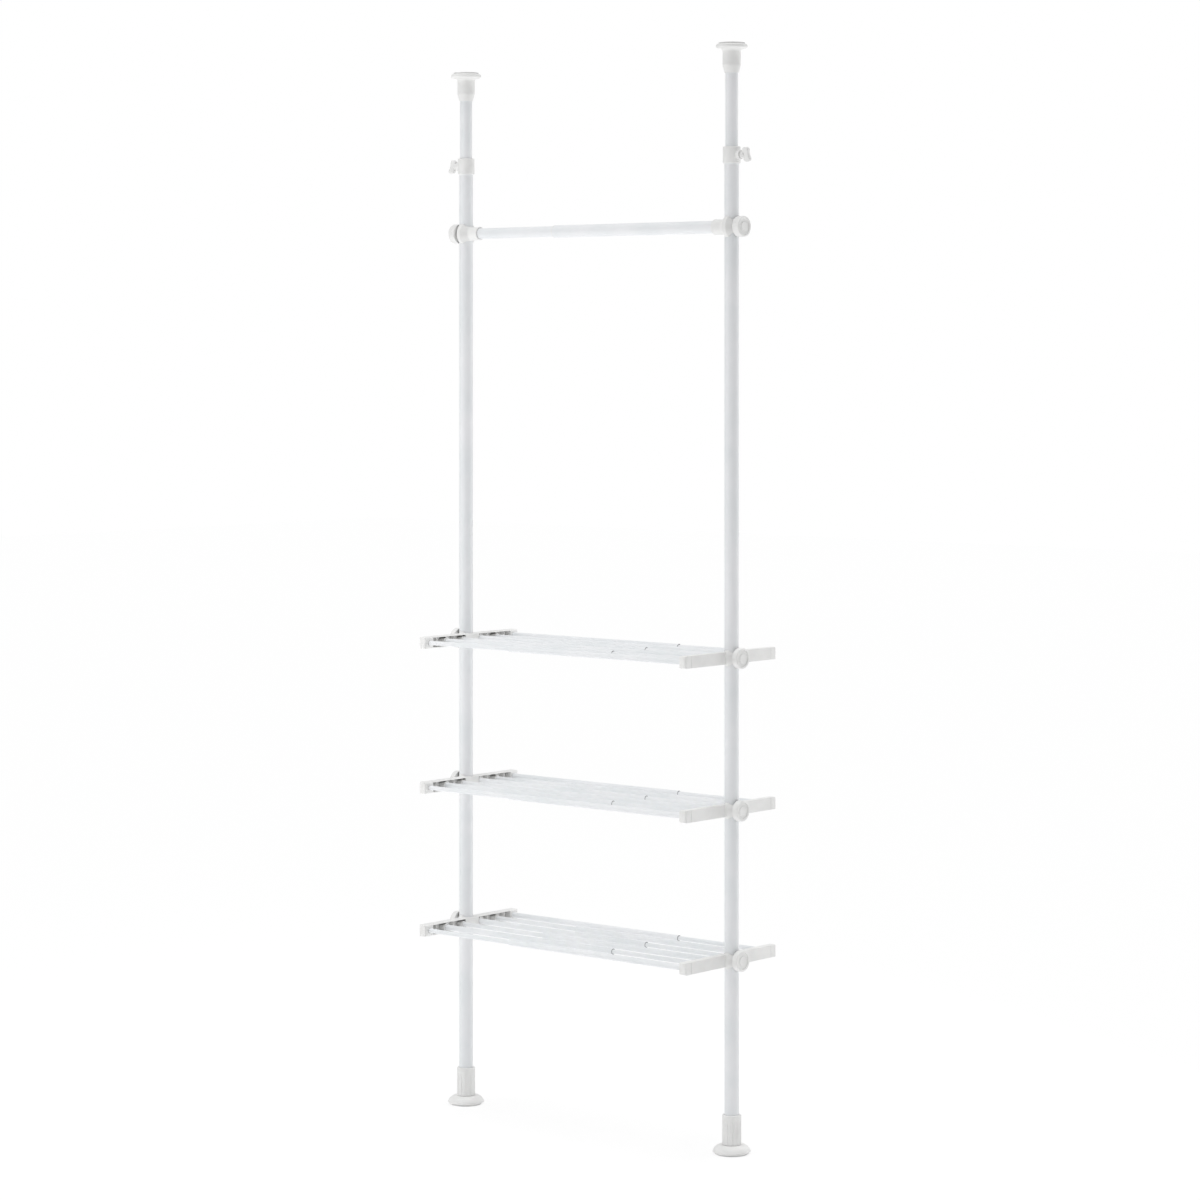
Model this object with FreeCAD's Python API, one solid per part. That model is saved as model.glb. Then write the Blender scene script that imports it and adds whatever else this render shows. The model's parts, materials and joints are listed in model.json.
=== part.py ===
"""Tension pole shelf unit, in millimetres.

Two telescoping poles are braced between floor and ceiling. Three bar shelves and a clothes rod
are clamped to them. Everything that spans from pole to pole telescopes, so the width can be set.

+X runs from the left pole to the right one, -Y is the front and Z = 0 is the floor. The origin
lies on the floor midway between the poles. A part that is clamped to a pole is modelled in the
pole's own frame: u points away from the other pole, and the pole's axis is u = 0. The right-hand
part is set in place as it is and the left-hand part is the same moulding turned half a turn.
"""
import FreeCAD, Part
import math
import os

from FreeCAD import Placement, Rotation, Vector

# ---- Poles
POLE_SPACING = 786.0         # between the two pole axes
OUTER_TUBE_D = 32.0
OUTER_TUBE_WALL = 1.2
OUTER_TUBE_LENGTH = 2125.0
TUBE_PLAY = 0.8              # radial, round the inner tube in the outer one
INNER_TUBE_WALL = 1.2
INNER_TUBE_LENGTH = 700.0
SWAGE_LENGTH = 30.0          # widened foot of the inner tube, which fills the play
SWAGE_SLOPE = 3.0            # length of its cone for each millimetre of radius
LEFT_REACH = 133.6           # inner tube that shows between the height collar and the top cap
RIGHT_REACH = 160.7

# ---- Height collar and its wing screw
COLLAR_WALL = 3.5            # over the outer tube
COLLAR_HEIGHT = 37.0
COLLAR_SEAT = 11.0           # how far the outer tube stands in the collar
COLLAR_EDGE = 1.5
WING_BOSS_D = 21.0
WING_BOSS_PROUD = 6.5        # from the collar's surface
WING_SCREW_D = 6.0
WING_NECK_D = 15.0
WING_NECK_LENGTH = 6.5
WING_LENGTH = 18.0
WING_HEIGHT = 32.0
WING_THICKNESS = 9.0
WING_CORNER_R = 6.0
WING_DIP = 2.5               # hollow in the paddle's outer edge
WING_TILT = 17.0             # where the paddle stopped when it was tightened, in degrees

# ---- Top cap
CAP_OVERHANG = 15.0          # the disc, from the sleeve's surface
CAP_RIM = 10.0               # thickness of the disc at its round rim
CAP_SLEEVE_WALL = 6.0        # over the inner tube
CAP_MOUTH_WALL = 1.5
CAP_TAPER = 16.0
CAP_HEIGHT = 63.0
CAP_SOCKET = 48.0            # how far the inner tube stands in the cap
CAP_FLARE = 8.0
CAP_PAD_MARGIN = 6.0         # from the pad's edge to the disc's edge
CAP_PAD_THICKNESS = 4.0
CAP_PAD_PROUD = 3.0

# ---- Foot jack
FOOT_OVERHANG = 20.0         # the disc, from the edge of its crown
FOOT_WIDEST = 5.5            # height of the disc's widest line
FOOT_CROWN = 20.0            # height of the disc's top
FOOT_CROWN_MARGIN = 1.0      # crown round the sleeve
FOOT_BULGE = 3.0             # how far the dome stands out over a straight cone, each way
FOOT_LIP = 1.0               # thickness of the wall round the pad
FOOT_PAD_MARGIN = 6.0        # from the pad's edge to the disc's edge
FOOT_PAD_THICKNESS = 3.0
FOOT_PAD_PROUD = 1.2
STEM_D = 18.0
STEM_LENGTH = 120.0
STEM_TIP = 2.0               # chamfer on the stem's top
SLEEVE_WALL = 5.0            # over the outer tube
SLEEVE_HEIGHT = 64.7
SLEEVE_FLOOR = 22.0          # the nut in the bottom of the sleeve
SLEEVE_BAND = 12.0           # plain band over the flutes
SLEEVE_EDGE = 2.0
FLUTES = 12
FLUTE_D = 3.6
FLUTE_DEPTH = 1.1
PLUG_FLANGE = 3.0
PLUG_SPIGOT = 20.0

# ---- Clamp hub, shared by the shelf arms and the rod holders
ARM_HUB_WALL = 8.0           # over the pole, at the front and the back
ROD_HUB_WALL = 12.0
HUB_START = -5.0             # the full-size drum runs from here
HUB_SHOULDER = 4.0           # to here, and then narrows to its neck
HUB_NECK_D = 29.0
HUB_NECK_LIP = 1.0           # the neck ends this far short of the pole's surface
BOSS_D = 19.0
BOSS_REACH = 9.5             # from the pole's surface, as are the next reaches
KNOB_SKIRT_REACH = 0.8       # where the knob's narrow end starts
KNOB_RIM_REACH = 2.2         # where the knob is at its full size
SHELF_KNOB_REACH = 16.0
ROD_KNOB_REACH = 20.0
KNOB_D = 45.5
KNOB_SKIRT_D = 27.0
KNOB_EDGE = 1.5
KNOB_DISH_D = 37.0
KNOB_DISH_DEPTH = 2.5
KNOB_BUTTON_D = 20.0         # raised middle of the dish
KNOB_BUTTON_DROP = 1.0       # from the knob's face
KNOB_DRAFT = 0.5             # radial, of the dish's wall and the button's
INSERT_D = 13.0
INSERT_LENGTH = 7.0
SCREW_D = 8.0

# ---- Shelf bars
BAR_COUNT = 6
BAR_PITCH = 57.7
BAR_TUBE_D = 13.0
BAR_TUBE_PAST_MIDDLE = 128.0     # where a thick tube ends, beyond the middle of the shelf
BAR_ROD_D = 10.0
BAR_ROD_WALL = 0.8
BAR_ROD_INSERTION = 119.0        # how far a thin tube stands in a thick one
LOWER_SHELF_HEIGHT = 422.0
MIDDLE_SHELF_HEIGHT = 749.0
UPPER_SHELF_HEIGHT = 1081.0

# ---- Shelf arm
ARM_END_MARGIN = 15.75       # from the last bar's axis to the end of the arm
ARM_HEIGHT = 27.0
ARM_INBOARD = 4.0            # how far the arm reaches past the pole, towards the shelf
ARM_PLATE = 3.0              # outer wall of the channel
ARM_FLANGE = 2.6
ARM_RIB = 1.6
ARM_HUB_MARGIN = 7.0         # solid middle of the arm, past the pole
ARM_END_BLOCK = 27.0
ARM_CORNER_R = 5.0           # of its edges towards the shelf and at its ends
END_GROOVE = 20.0            # from the arm's end
GROOVE_WIDTH = 0.8
GROOVE_DEPTH = 0.5
SOCKET_FLOOR = 4.0           # from the arm's outer face to the end of a bar
SOCKET_WALL = 2.6

# ---- Clothes rod
ROD_DROP = 138.0             # below the height collars
ROD_TUBE_D = 28.0
ROD_TUBE_WALL = 1.2
ROD_TUBE_PAST_MIDDLE = 117.0
ROD_INNER_WALL = 1.0
ROD_INSERTION = 147.0
CUP_WALL = 3.0               # over the rod's tube
CUP_REACH = 29.0             # from the pole's surface
CUP_FLOOR_REACH = 4.5
CUP_FLARE_REACH = 2.0        # where the cup starts to widen into the hub
CUP_LIP = 3.0
CUP_LIP_PROUD = 0.5
BUSH_WALL = 0.4
BUSH_FLANGE = 2.5
BUSH_LENGTH = 20.0

# ---- Clearances
FIT = 0.1                    # radial, between parts that slide or turn on one another
SEAT = 0.05                  # radial, between parts that are glued or pressed together
GAP = 0.3                    # between parts that stop against one another
BAR_PLAY = 0.3               # radial, between a thin shelf tube and the thick one round it

# ---- Sizes that follow from the ones above
POLE_R = OUTER_TUBE_D / 2
INNER_TUBE_D = OUTER_TUBE_D - 2 * (OUTER_TUBE_WALL + TUBE_PLAY)
COLLAR_D = OUTER_TUBE_D + 2 * COLLAR_WALL
CAP_SLEEVE_D = INNER_TUBE_D + 2 * CAP_SLEEVE_WALL
CAP_DISC_D = CAP_SLEEVE_D + 2 * CAP_OVERHANG
SLEEVE_D = OUTER_TUBE_D + 2 * SLEEVE_WALL
FOOT_CROWN_D = SLEEVE_D + 2 * FOOT_CROWN_MARGIN
FOOT_DISC_D = FOOT_CROWN_D + 2 * FOOT_OVERHANG
FOOT_PAD_D = FOOT_DISC_D - 2 * FOOT_PAD_MARGIN
ARM_HUB_D = OUTER_TUBE_D + 2 * ARM_HUB_WALL
ROD_HUB_D = OUTER_TUBE_D + 2 * ROD_HUB_WALL
BOSS_END = POLE_R + BOSS_REACH
BAR_TUBE_WALL = (BAR_TUBE_D - BAR_ROD_D) / 2 - BAR_PLAY
ARM_LENGTH = (BAR_COUNT - 1) * BAR_PITCH + 2 * ARM_END_MARGIN
ARM_THICKNESS = POLE_R + ARM_INBOARD
ROD_INNER_D = ROD_TUBE_D - 2 * (ROD_TUBE_WALL + SEAT + BUSH_WALL + FIT)
CUP_MOUTH = POLE_R + CUP_REACH
CUP_FLOOR = POLE_R + CUP_FLOOR_REACH

SLEEVE_BOTTOM = FOOT_CROWN + GAP
PLUG_BOTTOM = SLEEVE_BOTTOM + SLEEVE_FLOOR + GAP
OUTER_TUBE_BOTTOM = PLUG_BOTTOM + PLUG_FLANGE
OUTER_TUBE_TOP = OUTER_TUBE_BOTTOM + OUTER_TUBE_LENGTH
COLLAR_BOTTOM = OUTER_TUBE_TOP - COLLAR_SEAT
COLLAR_TOP = COLLAR_BOTTOM + COLLAR_HEIGHT
WING_LEVEL = (COLLAR_BOTTOM + COLLAR_TOP) / 2
ROD_HEIGHT = COLLAR_BOTTOM - ROD_DROP
REACHES = {"left": LEFT_REACH, "right": RIGHT_REACH}
SHELF_HEIGHTS = {
    "lower": LOWER_SHELF_HEIGHT,
    "middle": MIDDLE_SHELF_HEIGHT,
    "upper": UPPER_SHELF_HEIGHT,
}

X_AXIS = Vector(1, 0, 0)
Y_AXIS = Vector(0, 1, 0)
Z_AXIS = Vector(0, 0, 1)


# ---- Helpers
def outline(start, *steps):
    """Closed wire of (across, up) corners in the XZ plane; a step (via, corner) is an arc."""
    first = last = Vector(start[0], 0, start[1])
    edges = []
    for step in steps:
        if isinstance(step[0], tuple):
            via, corner = (Vector(p[0], 0, p[1]) for p in step)
            edges.append(Part.Arc(last, via, corner).toShape())
        else:
            corner = Vector(step[0], 0, step[1])
            edges.append(Part.LineSegment(last, corner).toShape())
        last = corner
    if not last.isEqual(first, 1e-6):
        edges.append(Part.LineSegment(last, first).toShape())
    return Part.Wire(edges)


def outward(shape):
    """The same solid with its faces turned outwards."""
    if shape.Volume < 0:
        shape.reverse()
    return shape


def turned(start, *steps):
    """Solid turned about Z from an outline of (radius, height) corners."""
    return outward(Part.Face(outline(start, *steps)).revolve(Vector(), Z_AXIS, 360))


def lying(shape):
    """A solid turned about Z, laid down so that its height runs along u."""
    return shape.transformed(Placement(Vector(), Rotation(Y_AXIS, 90)).toMatrix())


def ring(outer_d, inner_d, low, high):
    """Plain tube or washer about Z."""
    return turned((inner_d / 2, low), (outer_d / 2, low), (outer_d / 2, high), (inner_d / 2, high))


def rod(diameter, low, high):
    """Plain round bar about Z."""
    return Part.makeCylinder(diameter / 2, high - low, Vector(0, 0, low))


def lying_rod(diameter, start, end, y=0.0):
    """Plain round bar along u at one depth."""
    return Part.makeCylinder(diameter / 2, end - start, Vector(start, y, 0), Vector(1, 0, 0))


def block(u_low, u_high, y_low, y_high, z_low, z_high):
    """Box between two corners."""
    size = (u_high - u_low, y_high - y_low, z_high - z_low)
    return Part.makeBox(*size, Vector(u_low, y_low, z_low))


def joined(first, *others):
    """One solid from several, without the seams between them."""
    return first.fuse(list(others)).removeSplitter().Solids[0]


def cut(solid, *tools):
    """The solid with every tool taken away."""
    return solid.cut(list(tools)).Solids[0]


def at_pole(side, shape, height=0.0):
    """A part from the pole's own frame, set on the left or the right pole."""
    half = POLE_SPACING / 2
    place = {
        "right": Placement(Vector(half, 0, height), Rotation()),
        "left": Placement(Vector(-half, 0, height), Rotation(Z_AXIS, 180)),
    }[side]
    return shape.transformed(place.toMatrix())


# ---- Poles
def outer_tube():
    bore = OUTER_TUBE_D - 2 * OUTER_TUBE_WALL
    return ring(OUTER_TUBE_D, bore, OUTER_TUBE_BOTTOM, OUTER_TUBE_TOP)


def inner_tube(top):
    """Thin tube, with a widened foot that runs in the outer tube."""
    bottom = top - INNER_TUBE_LENGTH
    wide_r = OUTER_TUBE_D / 2 - OUTER_TUBE_WALL - FIT
    outer_r = INNER_TUBE_D / 2
    wall = INNER_TUBE_WALL
    step = bottom + SWAGE_LENGTH
    slope = step + SWAGE_SLOPE * (wide_r - outer_r)
    return turned(
        (wide_r - wall, bottom), (wide_r, bottom), (wide_r, step), (outer_r, slope),
        (outer_r, top), (outer_r - wall, top), (outer_r - wall, slope), (wide_r - wall, step))


def top_cap(bottom):
    """Moulded cap: a tapered sleeve that flares into a disc with a round rim."""
    tube_r = INNER_TUBE_D / 2 + SEAT
    mouth_r = INNER_TUBE_D / 2 + CAP_MOUTH_WALL
    sleeve_r = CAP_SLEEVE_D / 2
    top = bottom + CAP_HEIGHT
    rim = CAP_RIM / 2
    rim_r = CAP_DISC_D / 2 - rim
    under = top - CAP_RIM
    flare_r = sleeve_r + CAP_FLARE
    bend = CAP_FLARE * (1 - math.sqrt(0.5))
    socket = bottom + CAP_SOCKET
    recess = top - (CAP_PAD_THICKNESS - CAP_PAD_PROUD)
    pad_r = CAP_DISC_D / 2 - CAP_PAD_MARGIN + SEAT
    return turned(
        (tube_r, bottom), (mouth_r, bottom), (sleeve_r, bottom + CAP_TAPER),
        (sleeve_r, under - CAP_FLARE), ((sleeve_r + bend, under - bend), (flare_r, under)),
        (rim_r, under), ((rim_r + rim, under + rim), (rim_r, top)),
        (pad_r, top), (pad_r, recess), (0, recess), (0, socket), (tube_r, socket))


def cap_pad(bottom):
    """Disc of rubber that presses on the ceiling."""
    top = bottom + CAP_HEIGHT + CAP_PAD_PROUD
    return rod(CAP_DISC_D - 2 * CAP_PAD_MARGIN, top - CAP_PAD_THICKNESS, top)


def height_collar():
    """Collar on the outer tube's end, with a boss for the wing screw."""
    outer_r = COLLAR_D / 2
    seat_r = OUTER_TUBE_D / 2 + SEAT
    slide_r = INNER_TUBE_D / 2 + FIT
    shell = turned(
        (seat_r, COLLAR_BOTTOM), (outer_r - COLLAR_EDGE, COLLAR_BOTTOM),
        (outer_r, COLLAR_BOTTOM + COLLAR_EDGE), (outer_r, COLLAR_TOP - COLLAR_EDGE),
        (outer_r - COLLAR_EDGE, COLLAR_TOP), (slide_r, COLLAR_TOP),
        (slide_r, OUTER_TUBE_TOP + SEAT), (seat_r, OUTER_TUBE_TOP + SEAT))
    level = Vector(0, 0, WING_LEVEL)
    boss_end = outer_r + WING_BOSS_PROUD
    boss = lying_rod(WING_BOSS_D, seat_r + SEAT, boss_end).translated(level)
    hole = lying_rod(WING_SCREW_D + 2 * FIT, 0, boss_end + 1).translated(level)
    return cut(joined(shell, boss), hole)


def wing_screw():
    """Paddle-shaped screw that presses on the inner tube, level with Z = 0."""
    half = WING_HEIGHT / 2
    corner = WING_CORNER_R
    bend = corner * (1 - math.sqrt(0.5))
    boss_end = COLLAR_D / 2 + WING_BOSS_PROUD
    start = boss_end + WING_NECK_LENGTH
    end = start + WING_LENGTH
    paddle = outline(
        (start + corner, -half),
        (end - corner, -half), ((end - bend, -half + bend), (end, -half + corner)),
        ((end - WING_DIP, 0), (end, half - corner)),
        ((end - bend, half - bend), (end - corner, half)),
        (start + corner, half), ((start + bend, half - bend), (start, half - corner)),
        (start, -half + corner), ((start + bend, -half + bend), (start + corner, -half)))
    depth = Vector(0, WING_THICKNESS, 0)
    plate = Part.Face(paddle).extrude(depth).translated(-depth / 2)
    neck = lying_rod(WING_NECK_D, boss_end + GAP, start + corner)
    screw = lying_rod(WING_SCREW_D, INNER_TUBE_D / 2 + GAP, start)
    return joined(outward(plate), neck, screw).rotated(Vector(), X_AXIS, WING_TILT)


def end_plug():
    """Plug in the tube's foot, which guides the stem and rests in the sleeve."""
    outer_r = OUTER_TUBE_D / 2
    spigot_r = outer_r - OUTER_TUBE_WALL - SEAT
    bore_r = STEM_D / 2 + FIT
    step = PLUG_BOTTOM + PLUG_FLANGE
    top = step + PLUG_SPIGOT
    return turned(
        (bore_r, PLUG_BOTTOM), (outer_r, PLUG_BOTTOM), (outer_r, step), (spigot_r, step),
        (spigot_r, top), (bore_r, top))


def jack_sleeve():
    """Fluted grip with the jack's nut in its floor. Turning it pushes the foot down."""
    outer_r = SLEEVE_D / 2
    socket_r = OUTER_TUBE_D / 2 + FIT
    nut_r = STEM_D / 2 + FIT
    top = SLEEVE_BOTTOM + SLEEVE_HEIGHT
    floor = SLEEVE_BOTTOM + SLEEVE_FLOOR
    body = turned(
        (nut_r, SLEEVE_BOTTOM), (outer_r, SLEEVE_BOTTOM), (outer_r, top - SLEEVE_EDGE),
        (outer_r - SLEEVE_EDGE, top), (socket_r, top), (socket_r, floor), (nut_r, floor))
    flute_axis = outer_r + FLUTE_D / 2 - FLUTE_DEPTH
    flute = rod(FLUTE_D, SLEEVE_BOTTOM - 1, top - SLEEVE_BAND).translated(Vector(flute_axis, 0, 0))
    step = 360 / FLUTES
    flutes = [flute.rotated(Vector(), Z_AXIS, step * (i + 0.5)) for i in range(FLUTES)]
    return cut(body, *flutes)


def foot_disc():
    """Domed disc with the jack's stem standing on it."""
    lip = FOOT_PAD_PROUD
    seat = FOOT_PAD_THICKNESS
    pad_r = FOOT_PAD_D / 2 + SEAT
    wide_r = FOOT_DISC_D / 2
    crown_r = FOOT_CROWN_D / 2
    stem_r = STEM_D / 2
    shoulder = ((crown_r + wide_r) / 2 + FOOT_BULGE, (FOOT_CROWN + FOOT_WIDEST) / 2 + FOOT_BULGE)
    tip = FOOT_CROWN + STEM_LENGTH
    return turned(
        (0, seat), (pad_r, seat), (pad_r, lip), (pad_r + FOOT_LIP, lip),
        (wide_r, FOOT_WIDEST), (shoulder, (crown_r, FOOT_CROWN)), (stem_r, FOOT_CROWN),
        (stem_r, tip - STEM_TIP), (stem_r - STEM_TIP, tip), (0, tip))


def foot_pad():
    """Rubber disc under the foot."""
    return rod(FOOT_PAD_D, 0, FOOT_PAD_THICKNESS)


def pole(side):
    """Every piece of one pole, as node name and solid."""
    cap_bottom = COLLAR_TOP + REACHES[side]
    wing = wing_screw().translated(Vector(0, 0, WING_LEVEL))
    pieces = {
        "outer_tube": outer_tube(),
        "inner_tube": inner_tube(cap_bottom + CAP_SOCKET),
        "top_cap": top_cap(cap_bottom),
        "cap_pad": cap_pad(cap_bottom),
        "height_collar": height_collar(),
        "wing_screw": wing,
        "end_plug": end_plug(),
        "jack_sleeve": jack_sleeve(),
        "foot_disc": foot_disc(),
        "foot_pad": foot_pad(),
    }
    return {f"{side}_{name}": at_pole(side, shape) for name, shape in pieces.items()}


# ---- Clamp
def pole_bore():
    """Room for the pole through a clamp hub."""
    reach = ROD_HUB_D
    return rod(OUTER_TUBE_D + 2 * FIT, -reach, reach)


def insert_hole():
    """Stepped hole along the boss: the screw's way in, and the seat of its insert."""
    seat = lying_rod(INSERT_D + 2 * SEAT, BOSS_END - INSERT_LENGTH, BOSS_END + 1)
    return joined(lying_rod(SCREW_D + 2 * GAP, 0, BOSS_END), seat)


def clamp_hub(drum_d, foot_r, foot_u, *inboard):
    """Turned hub, lying, from its inboard foot to the boss that holds the insert."""
    drum_r = drum_d / 2
    start_u = inboard[0][1] if inboard else foot_u
    return lying(turned(
        (0, start_u), *inboard, (foot_r, foot_u), (drum_r, HUB_START), (drum_r, HUB_SHOULDER),
        (HUB_NECK_D / 2, POLE_R - HUB_NECK_LIP), (BOSS_D / 2, POLE_R + GAP),
        (BOSS_D / 2, BOSS_END), (0, BOSS_END)))


def clamp_insert():
    """Threaded metal insert in the boss."""
    washer = ring(INSERT_D, SCREW_D + 2 * FIT, BOSS_END - INSERT_LENGTH, BOSS_END)
    return lying(washer)


def clamp_knob(reach):
    """Round knob with a cone towards the hub, a dished face with a button, and its screw."""
    end = POLE_R + reach
    rim_r = KNOB_D / 2
    boss_r = BOSS_D / 2 + 2 * GAP
    dish_r = KNOB_DISH_D / 2
    button_r = KNOB_BUTTON_D / 2
    floor = end - KNOB_DISH_DEPTH
    button = end - KNOB_BUTTON_DROP
    inside = BOSS_END + GAP
    screw_r = SCREW_D / 2
    tip = POLE_R + GAP
    skirt = POLE_R + KNOB_SKIRT_REACH
    return lying(turned(
        (0, tip), (screw_r, tip), (screw_r, inside), (boss_r, inside),
        (boss_r, skirt), (KNOB_SKIRT_D / 2, skirt), (rim_r, POLE_R + KNOB_RIM_REACH),
        (rim_r, end - KNOB_EDGE), (rim_r - KNOB_EDGE, end), (dish_r, end),
        (dish_r - KNOB_DRAFT, floor), (button_r + KNOB_DRAFT, floor), (button_r, button),
        (0, button)))


# ---- Shelves
def bar_depths():
    """Depth of each bar, from the back of the shelf to the front."""
    middle = (BAR_COUNT - 1) / 2
    return [BAR_PITCH * (middle - i) for i in range(BAR_COUNT)]


def right_tube_depths():
    """Bars whose thick tube belongs to the right arm: every second one from the back."""
    return bar_depths()[1::2]


def right_rod_depths():
    return bar_depths()[0::2]


def arm_shell():
    """Channel with solid ends and a solid middle, open towards the shelf."""
    half_y, half_z = ARM_LENGTH / 2, ARM_HEIGHT / 2
    bar = block(-ARM_THICKNESS, 0, -half_y, half_y, -half_z, half_z)
    outer_edges = [e for e in bar.Edges if e.CenterOfMass.isEqual(
        Vector(0, 0, e.CenterOfMass.z), 0.1)]
    rounded = [e for e in bar.Edges if not any(e.isSame(o) for o in outer_edges)]
    bar = bar.makeFillet(ARM_CORNER_R, rounded)
    pocket_z = half_z - ARM_FLANGE
    pocket_start = POLE_R + ARM_HUB_MARGIN
    pocket_end = half_y - ARM_END_BLOCK
    pockets = [
        block(-ARM_THICKNESS - 1, -ARM_PLATE, *sorted((way * pocket_start, way * pocket_end)),
              -pocket_z, pocket_z)
        for way in (-1, 1)]
    return cut(bar, *pockets)


def arm_ribs():
    """Ribs across the channel at every half pitch of the bars, level with the flanges."""
    half_z = ARM_HEIGHT / 2 - ARM_FLANGE / 2
    pitch = BAR_PITCH / 2
    first = math.ceil((POLE_R + ARM_HUB_MARGIN) / pitch)
    last = math.floor((ARM_LENGTH / 2 - ARM_END_BLOCK) / pitch)
    front = -ARM_THICKNESS + ARM_CORNER_R
    return [
        block(front, -ARM_PLATE / 2, way * i * pitch - ARM_RIB / 2, way * i * pitch + ARM_RIB / 2,
              -half_z, half_z)
        for i in range(first, last + 1) for way in (-1, 1)]


def bar_sockets():
    """Round bosses in the channel, one for each bar."""
    wall = 2 * SOCKET_WALL
    inner_end = ARM_LENGTH / 2 - ARM_END_BLOCK
    tubes = [(y, BAR_TUBE_D + wall) for y in right_tube_depths()]
    rods = [(y, BAR_ROD_D + wall) for y in right_rod_depths()]
    return [
        lying_rod(size, -ARM_THICKNESS, -ARM_PLATE / 2, y)
        for y, size in tubes + rods if abs(y) < inner_end]


def bar_holes():
    """Blind holes that the bars stand in."""
    start, end = -ARM_THICKNESS - 1, -SOCKET_FLOOR
    fit = 2 * SEAT
    tubes = [lying_rod(BAR_TUBE_D + fit, start, end, y) for y in right_tube_depths()]
    rods = [lying_rod(BAR_ROD_D + fit, start, end, y) for y in right_rod_depths()]
    return tubes + rods


def end_grooves():
    """Shallow line round the outside of the arm near each end."""
    half_z = ARM_HEIGHT / 2
    middle = ARM_LENGTH / 2 - END_GROOVE
    grooves = []
    for way in (-1, 1):
        low, high = way * middle - GROOVE_WIDTH / 2, way * middle + GROOVE_WIDTH / 2
        grooves.append(block(-GROOVE_DEPTH, 1, low, high, -half_z - 1, half_z + 1))
    return grooves


def shelf_arm():
    """Bracket arm: ribbed channel, bar sockets and clamp hub in one moulding."""
    hub = clamp_hub(ARM_HUB_D, ARM_HEIGHT / 2, -ARM_THICKNESS + ARM_CORNER_R)
    arm = joined(arm_shell(), *arm_ribs(), *bar_sockets(), hub)
    return cut(arm, pole_bore(), insert_hole(), *bar_holes(), *end_grooves())


def bars(depths, diameter, wall, length):
    """Tubes that stand in one arm, as a group of separate solids."""
    start = -SOCKET_FLOOR - SEAT
    tube = lying(ring(diameter, diameter - 2 * wall, start - length, start))
    return Part.makeCompound([tube.translated(Vector(0, y, 0)) for y in depths])


def shelf(name, height):
    """Every piece of one shelf, as node name and solid."""
    to_middle = POLE_SPACING / 2 - SOCKET_FLOOR - SEAT
    tube_length = to_middle + BAR_TUBE_PAST_MIDDLE
    rod_length = to_middle - BAR_TUBE_PAST_MIDDLE + BAR_ROD_INSERTION
    pieces = {
        "arm": shelf_arm(),
        "insert": clamp_insert(),
        "knob": clamp_knob(SHELF_KNOB_REACH),
        "tubes": bars(right_tube_depths(), BAR_TUBE_D, BAR_TUBE_WALL, tube_length),
        "rods": bars(right_rod_depths(), BAR_ROD_D, BAR_ROD_WALL, rod_length),
    }
    return {
        f"{name}_{side}_{piece}": at_pole(side, shape, height)
        for side in REACHES for piece, shape in pieces.items()}


# ---- Clothes rod
def rod_holder(tube_d):
    """Clamp hub with a lipped cup that the rod stands in."""
    cup_r = tube_d / 2 + CUP_WALL
    lip_r = cup_r + CUP_LIP_PROUD
    hub = clamp_hub(
        ROD_HUB_D, cup_r, -POLE_R - CUP_FLARE_REACH, (lip_r, -CUP_MOUTH),
        (lip_r, -CUP_MOUTH + CUP_LIP), (cup_r, -CUP_MOUTH + CUP_LIP + CUP_LIP_PROUD))
    socket = lying_rod(tube_d + 2 * SEAT, -CUP_MOUTH - 1, -CUP_FLOOR)
    return cut(hub, pole_bore(), insert_hole(), socket)


def rod_tube(diameter, wall, past_middle):
    """Half of the clothes rod, from the floor of its cup to beyond the middle."""
    free_end = -POLE_SPACING / 2 - past_middle
    return lying(ring(diameter, diameter - 2 * wall, free_end, -CUP_FLOOR - SEAT))


def rod_bush():
    """Ring in the mouth of the thick tube, which guides the thin one."""
    mouth = -POLE_SPACING / 2 - ROD_TUBE_PAST_MIDDLE
    bore_r = ROD_INNER_D / 2 + FIT
    flange_r = ROD_TUBE_D / 2
    spigot_r = flange_r - ROD_TUBE_WALL - SEAT
    return lying(turned(
        (bore_r, mouth - BUSH_FLANGE), (flange_r, mouth - BUSH_FLANGE), (flange_r, mouth),
        (spigot_r, mouth), (spigot_r, mouth + BUSH_LENGTH), (bore_r, mouth + BUSH_LENGTH)))


def clothes_rod():
    """Every piece of the clothes rod, as node name and solid."""
    thin_past_middle = ROD_INSERTION - ROD_TUBE_PAST_MIDDLE
    pieces = {
        "left": {
            "holder": rod_holder(ROD_INNER_D),
            "thin_tube": rod_tube(ROD_INNER_D, ROD_INNER_WALL, thin_past_middle),
        },
        "right": {
            "holder": rod_holder(ROD_TUBE_D),
            "thick_tube": rod_tube(ROD_TUBE_D, ROD_TUBE_WALL, ROD_TUBE_PAST_MIDDLE),
            "bush": rod_bush(),
        },
    }
    nodes = {}
    for side, own in pieces.items():
        own.update(insert=clamp_insert(), knob=clamp_knob(ROD_KNOB_REACH))
        for piece, shape in own.items():
            nodes[f"rod_{side}_{piece}"] = at_pole(side, shape, ROD_HEIGHT)
    return nodes


def main():
    nodes = {**pole("left"), **pole("right"), **clothes_rod()}
    for name, height in SHELF_HEIGHTS.items():
        nodes.update(shelf(name, height))
    os.makedirs("parts", exist_ok=True)
    for name, shape in nodes.items():
        shape.exportStep(f"parts/{name}.step")
    print(len(nodes), "nodes")


main()
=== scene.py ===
"""Tension pole shelf unit: finished meshes, materials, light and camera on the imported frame.

Laid out as an add-on and run as a script. Lengths are in metres. The origin lies on the floor
midway between the poles, +X runs from the left pole to the right one and -Y is the front. What is
clamped to a pole is modelled in the pole's own frame, where u points away from the other pole; the
left-hand piece is the same moulding turned half a turn.
"""
import json
import math

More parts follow.
